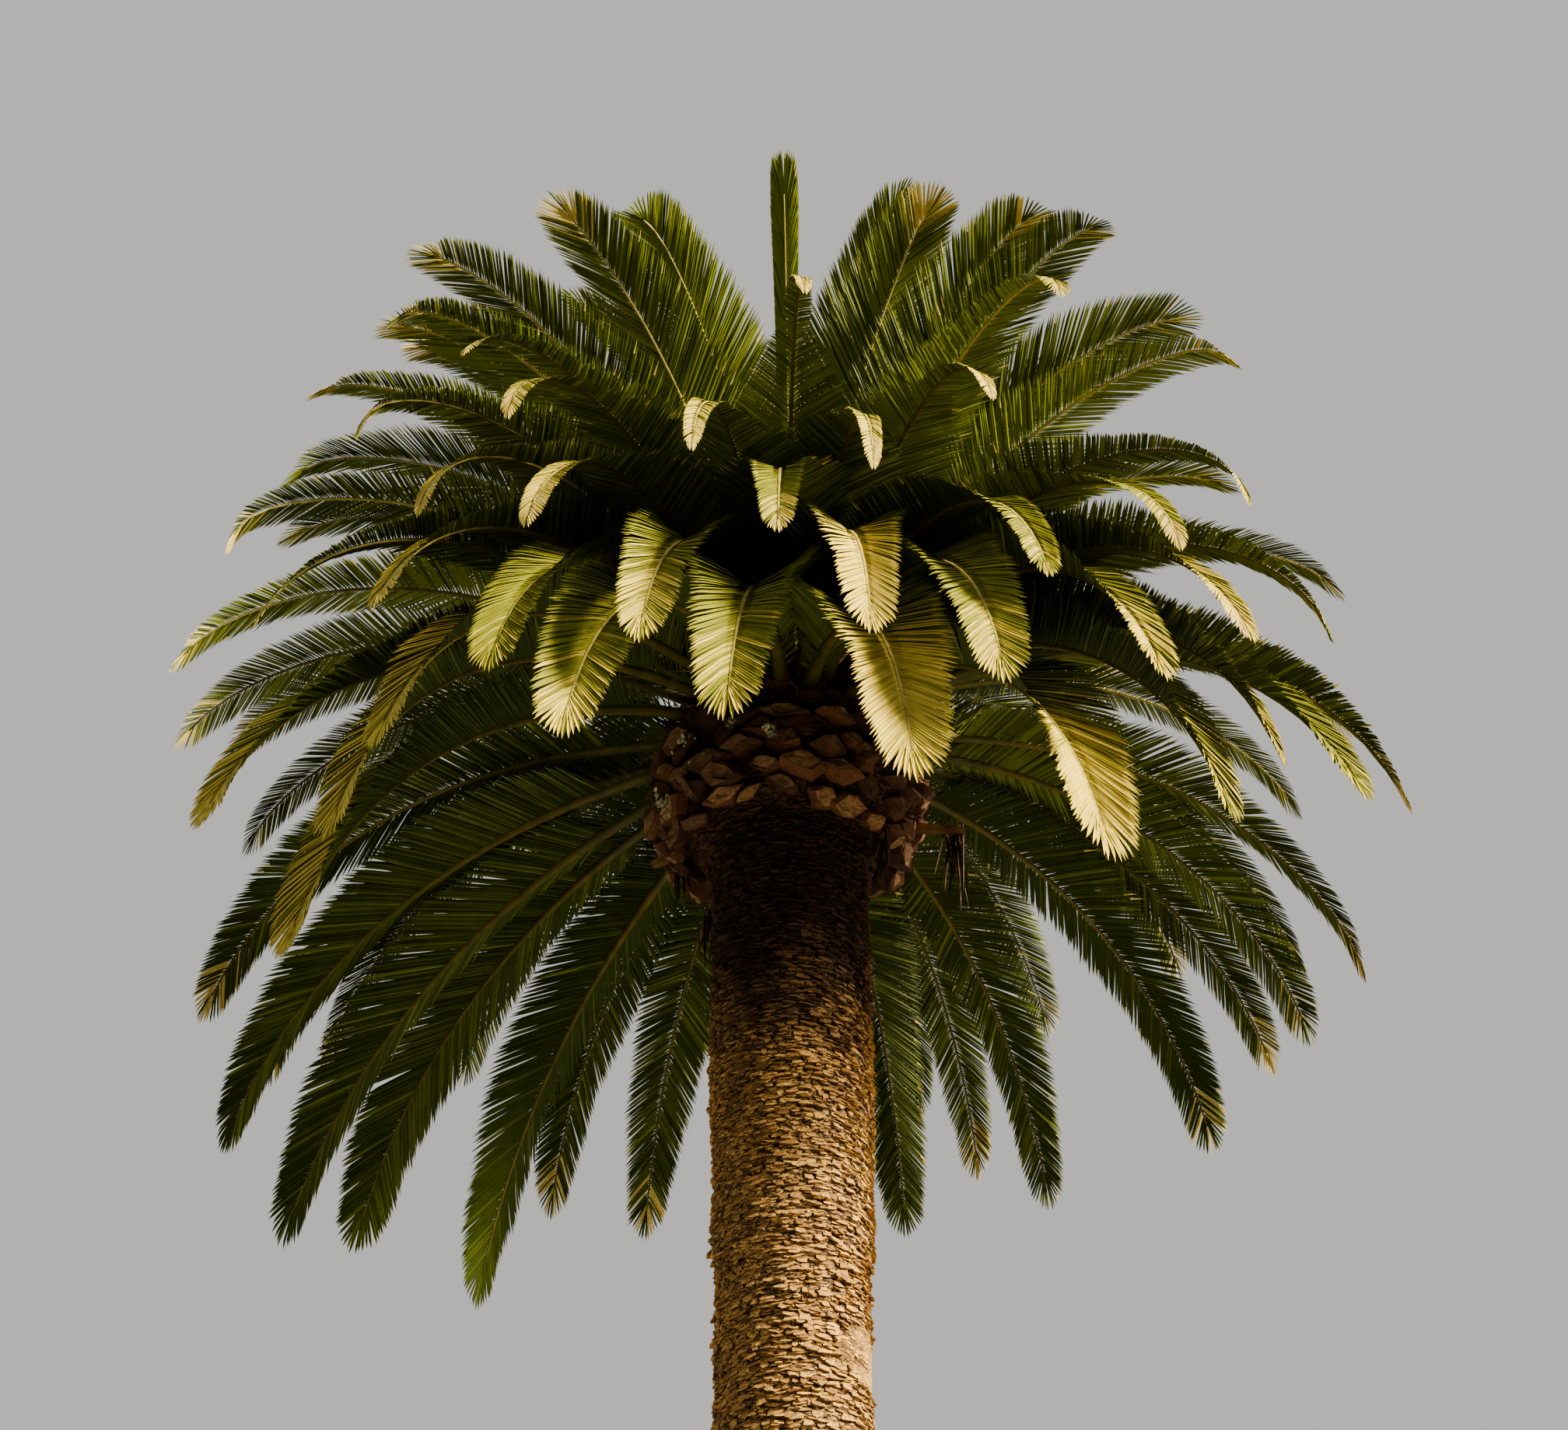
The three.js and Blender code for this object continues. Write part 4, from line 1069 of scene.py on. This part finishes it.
FLAKE_PIECES = [("bark_flakes_low", 0, 3800, 51), ("bark_flakes_high", 3800, TRUNK_HEIGHT, 52)]
for name, low, high, seed in FLAKE_PIECES:
    piece = loose_flakes(name, low, high, bark, bark_shape, seed)
    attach(piece, "root")
    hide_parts("trunk")

# %% [markdown]
# ## The boss
# Below the crown stand the bases of the leaves that were sawn off: wide lozenges in slanting
# rows, brown and tan where the saw went through, with matted red-brown fibre between them. One
# stub is modelled as a lozenge block and then copied round the boss, each copy bent out of shape,
# tilted and worn a little differently.

# %% The matted body of the boss, from its narrow foot to the heart of the crown
BOOT_RING_GAP = 22
BOOT_PROFILE = [
    [600, 7745], [640, 7810], [672, 7890], [686, 7975], [680, 8060], [655, 8140],
    [RIM_RADIUS, RIM_HEIGHT - BOOT_RING_GAP],
]
BODY_FOOT, BODY_RAISED, BODY_SUNK, BODY_SLIMMEST = 7440, 8, 28, 20
BODY = [[BODY_FOOT, 366], [7560, 380], [7640, 398], [7690, 440], [7735, 545]]
BODY += [[z + BODY_RAISED, r - BODY_SUNK] for r, z in BOOT_PROFILE]
BODY += [[8300, 560], [8700, 250], [HEART_TOP, HEART_RADIUS]]
FIBRE_FROM, FIBRE_TO, FIBRE_SEED = 7560, 8300, 53


def boss_shape(turn, z):
    heights, radii = zip(*BODY)
    push, *shades = bark_relief(turn, z)
    return np.maximum(np.interp(z, heights, radii) + push, BODY_SLIMMEST), *shades


boss_body = wrapped("boss_matted_body", BODY_FOOT, HEART_TOP, 200, 140, boss_fibre, boss_shape)
boss_flakes = loose_flakes("boss_fibre_flakes", FIBRE_FROM, FIBRE_TO, boss_fibre, boss_shape, FIBRE_SEED)
for piece in (boss_body, boss_flakes):
    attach(piece, "root")
    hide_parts("crown_boss")

# %% One stub: a lozenge block with a sharp sawn face, modelled once
# It is two units wide and high and one deep, and gets its real size when it is copied.
BLOCK_DEEP, SHAFT_DEEP, RIM_DEEP, FACE_INSET = 0.5, 0.42, 0.08, 0.3
SHAFT_NARROWS, RIM_NARROWS = (0.88, 0.84, 1), (0.93, 0.9, 1)
CORNER_FROM, CORNER_DRAWN_IN, FACING_UP = 0.5, 0.64, 0.9


def pick_faces(mesh, wanted):
    bpy.ops.mesh.select_all(action="DESELECT")
    bpy.ops.object.mode_set(mode="OBJECT")
    for face in mesh.polygons:
        face.select = wanted(face)
    bpy.ops.object.mode_set(mode="EDIT")


bpy.ops.object.select_all(action="DESELECT")
bpy.ops.mesh.primitive_cylinder_add(
    vertices=6, radius=1, depth=BLOCK_DEEP, location=(0, 0, BLOCK_DEEP / 2), rotation=(0, 0, math.pi / 2),
)
stub = bpy.context.object
stub.name = "stub_model"
bpy.ops.object.transform_apply(location=True, rotation=True, scale=True)
bpy.ops.object.mode_set(mode="EDIT")
pick_faces(stub.data, lambda face: face.normal.z > FACING_UP)
for deep, narrows in ((SHAFT_DEEP, SHAFT_NARROWS), (RIM_DEEP, RIM_NARROWS)):
    bpy.ops.mesh.extrude_region_move(TRANSFORM_OT_translate={"value": (0, 0, deep)})
    bpy.ops.transform.resize(value=narrows)
bpy.ops.mesh.inset(thickness=FACE_INSET)
bpy.ops.mesh.select_all(action="SELECT")
bpy.ops.mesh.quads_convert_to_tris()
bpy.ops.object.mode_set(mode="OBJECT")
stub_corners = np.array([v.co for v in stub.data.vertices])
stub_corners[:, 0] *= np.where(np.abs(stub_corners[:, 1]) > CORNER_FROM, CORNER_DRAWN_IN, 1)
stub_faces = np.array([list(p.vertices) for p in stub.data.polygons])
bpy.data.objects.remove(stub)
print("stub", len(stub_faces), "triangles")

# %% The path of the stubs up the boss: radius and height
BOSS_COLUMNS, STUB_ROWS = 20, 8
STUB_PATH = [[520, 7672], [598, 7712]] + BOOT_PROFILE[1:-1] + [[612, 8218], [585, 8300], [550, 8380]]
STUB_PATH = np.array(STUB_PATH, float)
path_length = np.concatenate([[0], np.cumsum(np.linalg.norm(np.diff(STUB_PATH, axis=0), axis=1))])


def on_boss(far):
    return np.array([np.interp(far, path_length, STUB_PATH[:, k]) for k in (0, 1)])


print("the stubs climb", round(float(path_length[-1])), "mm")

# %% Copy the stub round the boss in slanting rows
# The stub is half of its width and height to each side of its middle. Its turns are a tilt up, a
# twist in its own face and a lean sideways, in degrees; its sawn face slants up and aside.
STUB_WIDE, STUB_HIGH, STUB_DEEP = 222, 120, 78
STUB_SIZE = np.array([STUB_WIDE / 2, STUB_HIGH / 2, STUB_DEEP])
STUB_SUNK, BOSS_LEANS_LEFT = 40, 20
ROW_SEAT, ROW_WANDERS, COLUMN_WANDERS, SLOPE_OVER = 0.4, 0.24, 0.18, 40
TILTS, TILTS_VARY = [20, 0, 0], [14, 13, 16]
STUB_SMALLEST, STUB_LARGEST, STUB_CORNER_VARIES = [0.66, 0.62, 0.6], [1.2, 1.22, 1.25], 0.09
SLANTS, SLANTS_VARY, FACE_FROM, SAWN_FROM = [0.16, 0], [0.16, 0.16], 0.6, 0.95
STUB_TINTS = (-0.3, 1.0)
UPRIGHT = np.array([0, 0, 1.0])
chips = np.random.default_rng(SEED + 1)
on_face = stub_corners[:, 2] > FACE_FROM
sawn = stub_corners[stub_faces][:, :, 2].min(axis=1) > SAWN_FROM
stub_parts, stub_tints = [], []
for row in range(STUB_ROWS):
    for column in range(BOSS_COLUMNS):
        far = path_length[-1] * (row + ROW_SEAT + chips.uniform(-ROW_WANDERS, ROW_WANDERS)) / STUB_ROWS
        radius, z = on_boss(far)
        slope = unit(on_boss(far + SLOPE_OVER) - on_boss(far - SLOPE_OVER))
        seat = column + (row % 2) / 2 + chips.uniform(-COLUMN_WANDERS, COLUMN_WANDERS)
        out = outwards(seat / BOSS_COLUMNS * FULL_TURN)
        upward = out * slope[0] + UPRIGHT * slope[1]
        outward = out * slope[1] - UPRIGHT * slope[0]
        sideways = np.cross(upward, outward)
        tilt, twist, lean = np.radians(chips.normal(TILTS, TILTS_VARY))
        outward = unit(outward + upward * tilt + sideways * lean)
        upward = unit(upward - outward * (upward @ outward))
        sideways = np.cross(upward, outward)
        cos, sin = np.cos(twist), np.sin(twist)
        upward, sideways = upward * cos + sideways * sin, sideways * cos - upward * sin
        size = chips.uniform(STUB_SMALLEST, STUB_LARGEST)
        local = stub_corners + chips.normal(0, STUB_CORNER_VARIES, stub_corners.shape)
        slant_up, slant_aside = chips.normal(SLANTS, SLANTS_VARY)
        local[:, 2] += on_face * (local[:, 1] * slant_up + local[:, 0] * slant_aside)
        middle = stem_point(z) + out * (radius - STUB_SUNK) - [BOSS_LEANS_LEFT, 0, 0]
        stub_parts.append(middle + (local * STUB_SIZE * size) @ np.array([sideways, upward, outward]))
        stub_tints.append(np.full(len(local), chips.uniform(*STUB_TINTS)))
firsts = np.arange(len(stub_parts))[:, None, None] * len(stub_corners)
stubs = mesh_object(
    "boss_cut_leaf_bases", np.array(stub_parts), [(firsts + stub_faces).reshape(-1, 3)],
    [cut_face, boss_fibre], np.tile(np.where(sawn, 0, 1), len(stub_parts)), tint=np.concatenate(stub_tints),
)
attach(stubs, "root")
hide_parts("crown_boss")

# %% [markdown]
# ## What hangs on the boss
# Where a sheath rots, its fibres curl out between the leaf stalks. Some stalks were sawn off long,
# here and there a dry scrap of leaf still hangs, and pale lichen grows on the oldest stubs. The
# fibres are three-sided wires along wandering paths, all made together as arrays, because
# hundreds of curves would be slow to edit. Scraps and lichen plates are folded blades again.

# %% Wires: three-sided tubes along many paths at once
# Their rings run the other way round than a rib's, so each face is turned to look outwards.
WIRE_SIDES = 3
ASKEW = np.array([0.3, 0.5, 0.8])


def wires(paths, thick):
    count, steps = paths.shape[:2]
    ahead = unit(np.gradient(paths, axis=1))
    across = unit(np.cross(ahead, ASKEW))[:, :, None]
    over = np.cross(ahead, across[:, :, 0])[:, :, None]
    around = (np.arange(WIRE_SIDES) * FULL_TURN / WIRE_SIDES)[:, None]
    ring = across * np.cos(around) + over * np.sin(around)
    corners = paths[:, :, None] + ring * thick[None, :, None, None]
    return corners, [np.roll(face[:, ::-1], 1, axis=1) for face in tube_faces(steps, WIRE_SIDES, count)]


print("a wire has", WIRE_SIDES, "sides")

# %% Curls of sheath fibre between the roots of the leaf stalks
CURLS, CURL_STEPS = 520, 10
CURL_LENGTH, CURL_THICK, CURL_TAPER = 230, 2.6, (1.2, 0.6)
CURL_SEATS, CURL_SEAT_RADII = [8150, 8250, 8430], [640, 590, 470]
CURL_OUT, CURL_AIM, CURL_BEND, CURL_SIZES = (0.4, 1.2), 0.7, 0.42, (0.4, 1.3)
CURL_WANDERS, CURL_SINKS = 0.16, 0.05
wild = np.random.default_rng(SEED + 3)
turn = wild.uniform(0, FULL_TURN, CURLS)
level = wild.uniform(CURL_SEATS[0], CURL_SEATS[-1], CURLS)
out = outwards(turn)
root = stem_point(level) + out * np.interp(level, CURL_SEATS, CURL_SEAT_RADII)[:, None]
aim = unit(out * wild.uniform(*CURL_OUT, (CURLS, 1)) + wild.normal(0, CURL_AIM, (CURLS, 3)))
bend = wild.normal(0, CURL_BEND, (CURLS, 3))
step = CURL_LENGTH / CURL_STEPS * wild.uniform(*CURL_SIZES, (CURLS, 1))
paths = [root]
for _ in range(CURL_STEPS):
    wander = wild.normal(0, CURL_WANDERS, (CURLS, 3))
    aim = unit(aim + np.cross(bend, aim) + wander - UPRIGHT * CURL_SINKS)
    paths.append(paths[-1] + aim * step)
corners, faces = wires(np.stack(paths, 1), CURL_THICK * np.linspace(*CURL_TAPER, CURL_STEPS + 1))
curls = mesh_object("sheath_fibre_curls", corners, faces, [sheath_fibre], np.zeros(sum(map(len, faces))))
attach(curls, "root")
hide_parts("crown_boss")

# %% Stalks that were sawn off long: bearing, height and how far they reach
LONG_STUBS = [[-3, 7800, 250], [118, 7850, 230], [62, 7790, 190], [150, 7900, 150]]
LONG_WIDE, LONG_THICK = 74, 34
LONG_SIZE = np.array([LONG_WIDE / 2, LONG_THICK])
LONG_ROOT, LONG_WAIST, LONG_DROOP = -90, 0.4, 0.12
LONG_WIDTHS = (1.3, 1.0, 0.86)
boot_radii, boot_heights = zip(*BOOT_PROFILE)
rings = []
for bearing, level, reach in LONG_STUBS:
    out = outwards(math.radians(bearing))
    side = np.array([out[1], -out[0], 0])
    radius = np.interp(level, boot_heights, boot_radii)
    for far, wide in zip((LONG_ROOT, reach * LONG_WAIST, reach), LONG_WIDTHS):
        middle = stem_point(level) + out * (radius + far) - UPRIGHT * LONG_DROOP * far
        rings.append(middle + (RIB_OUTLINE * LONG_SIZE * wide) @ np.array([side, UPRIGHT]))
faces = tube_faces(len(LONG_WIDTHS), SIDES, len(LONG_STUBS))
tones = np.concatenate([np.zeros(len(faces[0])), np.tile([0, 1], len(LONG_STUBS))])
long_stubs = mesh_object(
    "stalks_sawn_off_long", np.array(rings), faces, [stalk_materials[ROOT_BROWN], cut_face], tones,
)
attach(long_stubs, "root")
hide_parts("crown_boss")

# %% Dry scraps: where they hang (bearing, radius, height), how many strips, their length and width
SCRAPS = [
    [-2, 840, 7790, 26, 400, 13], [-30, 520, 7600, 5, 300, 44], [120, 860, 7800, 20, 300, 14],
    [160, 580, 7700, 4, 220, 40], [64, 800, 7760, 18, 260, 14],
]
SCRAP_SPREAD, SCRAP_SWINGS, SCRAP_BENDS, SCRAP_FIBRE = 22, 0.13, 0.05, 0.12
SCRAP_LENGTHS, SCRAP_WIDTHS = (0.5, 1.15), (0.6, 1.2)
blades, tones = [], []
for bearing, radius, level, strips, reach, wide in SCRAPS:
    out = outwards(math.radians(bearing))
    root = out * radius + stem_point(level) + wild.normal(0, SCRAP_SPREAD, (strips, 3))
    aim = unit(wild.normal(0, SCRAP_SWINGS, (strips, 3)) - UPRIGHT)
    facing = unit(np.cross(aim, wild.normal(0, 1, (strips, 3))))
    lengths, widths = reach * wild.uniform(*SCRAP_LENGTHS, strips), wide * wild.uniform(*SCRAP_WIDTHS, strips)
    blades.append(folded_blades(root, aim, facing, lengths, widths, wild.normal(0, SCRAP_BENDS, strips)))
    tones.append(wild.random(strips) < SCRAP_FIBRE)
blades, tones = np.concatenate(blades), np.concatenate(tones).astype(int)
scraps = mesh_object(
    "dry_leaf_scraps", blades, blade_faces(len(blades)), [dry_leaf, sheath_fibre],
    np.concatenate([np.repeat(tones, len(BLADE_QUADS)), np.repeat(tones, len(BLADE_TIPS))]),
)
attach(scraps, "root")
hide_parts("crown_boss")

# %% Crusts of lichen on the old stubs: where each patch is, how far it spreads and how many plates
# A ray from outside the boss finds the spot on a stub where each plate lies.
LICHEN = [
    [203, 7800, 32, 110], [262, 7905, 18, 30], [246, 7985, 14, 22], [312, 7850, 16, 26],
    [225, 7930, 50, 26], [60, 7850, 80, 60], [120, 7950, 70, 50], [20, 7900, 60, 40],
]
RAY_FROM, BOSS_RADIUS = 1200, 700
PLATE_SIZES, PLATE_WIDE, PLATE_RAISED = (10, 30), 0.8, 2
bpy.context.view_layer.update()
roots, facings = [], []
for bearing, level, spread_mm, plates in LICHEN:
    for _ in range(plates):
        out = outwards(math.radians(bearing) + wild.normal(0, spread_mm / BOSS_RADIUS))
        start = stem_point(level) + out * RAY_FROM + UPRIGHT * wild.normal(0, spread_mm)
        found, place, facing, _ = stubs.ray_cast(start / 1000, -out)
        if found:
            roots.append(np.array(place) * 1000)
            facings.append(np.array(facing))
roots, facings = np.array(roots), np.array(facings)
aim = unit(np.cross(facings, wild.normal(0, 1, facings.shape)))
sizes = wild.uniform(*PLATE_SIZES, len(roots))
roots = roots + facings * PLATE_RAISED - aim * sizes[:, None] / 2
crusts = folded_blades(roots, aim, facings, sizes, sizes * PLATE_WIDE, 0 * sizes)
faces = blade_faces(len(crusts))
lichen = mesh_object("lichen_crusts", crusts, faces, [lichen_crust], np.zeros(sum(map(len, faces))))
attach(lichen, "root")
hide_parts("crown_boss")

# %% [markdown]
# ## Floor and light
# A plain pale floor, a pale surround and one broad, soft, warm-white light from low on the right
# behind the camera, where the sun stood. The surround fills the shadows so that the undersides
# of the fronds still show their green.

# %% Floor: matt painted board, which scatters light evenly and has no pattern
FLOOR_SIZE = 11
bpy.ops.object.select_all(action="DESELECT")
bpy.ops.mesh.primitive_plane_add(size=FLOOR_SIZE, location=(0, 0, 0))
floor = bpy.context.object
floor.name = "floor"
material, tree = new_material("pale_matt_floor")
skin = add(tree, "BsdfPrincipled", {"Base Color": linear("#c9c5bd"), "Roughness": 0.8})
add(tree, "OutputMaterial", {"Surface": skin.outputs["BSDF"]})
floor.data.materials.append(material)
print("floor", FLOOR_SIZE, "m across")

# %% Surround and key light
SURROUND_STRENGTH = 0.6
SUN_HEIGHT, SUN_TO_THE_RIGHT = 24, 63
SUN_ENERGY, SUN_ACROSS = 15, 12

bpy.context.scene.view_settings.view_transform = "AgX"
bpy.context.scene.view_settings.look = "AgX - Medium High Contrast"
world = bpy.data.worlds.new("pale_surround")
bpy.context.scene.world = world
world.use_nodes = True
surround = world.node_tree.nodes["Background"]
surround.inputs["Color"].default_value = linear("#ece9e4")
surround.inputs["Strength"].default_value = SURROUND_STRENGTH
turned = (math.radians(90 - SUN_HEIGHT), 0, math.radians(SUN_TO_THE_RIGHT))
bpy.ops.object.light_add(type="SUN", rotation=turned)
sun = bpy.context.object
sun.name = "key_light"
sun.data.energy = SUN_ENERGY
sun.data.angle = math.radians(SUN_ACROSS)
sun.data.color = linear("#ffefd8")[:3]
print("key light", SUN_HEIGHT, "degrees up and", SUN_ACROSS, "degrees across")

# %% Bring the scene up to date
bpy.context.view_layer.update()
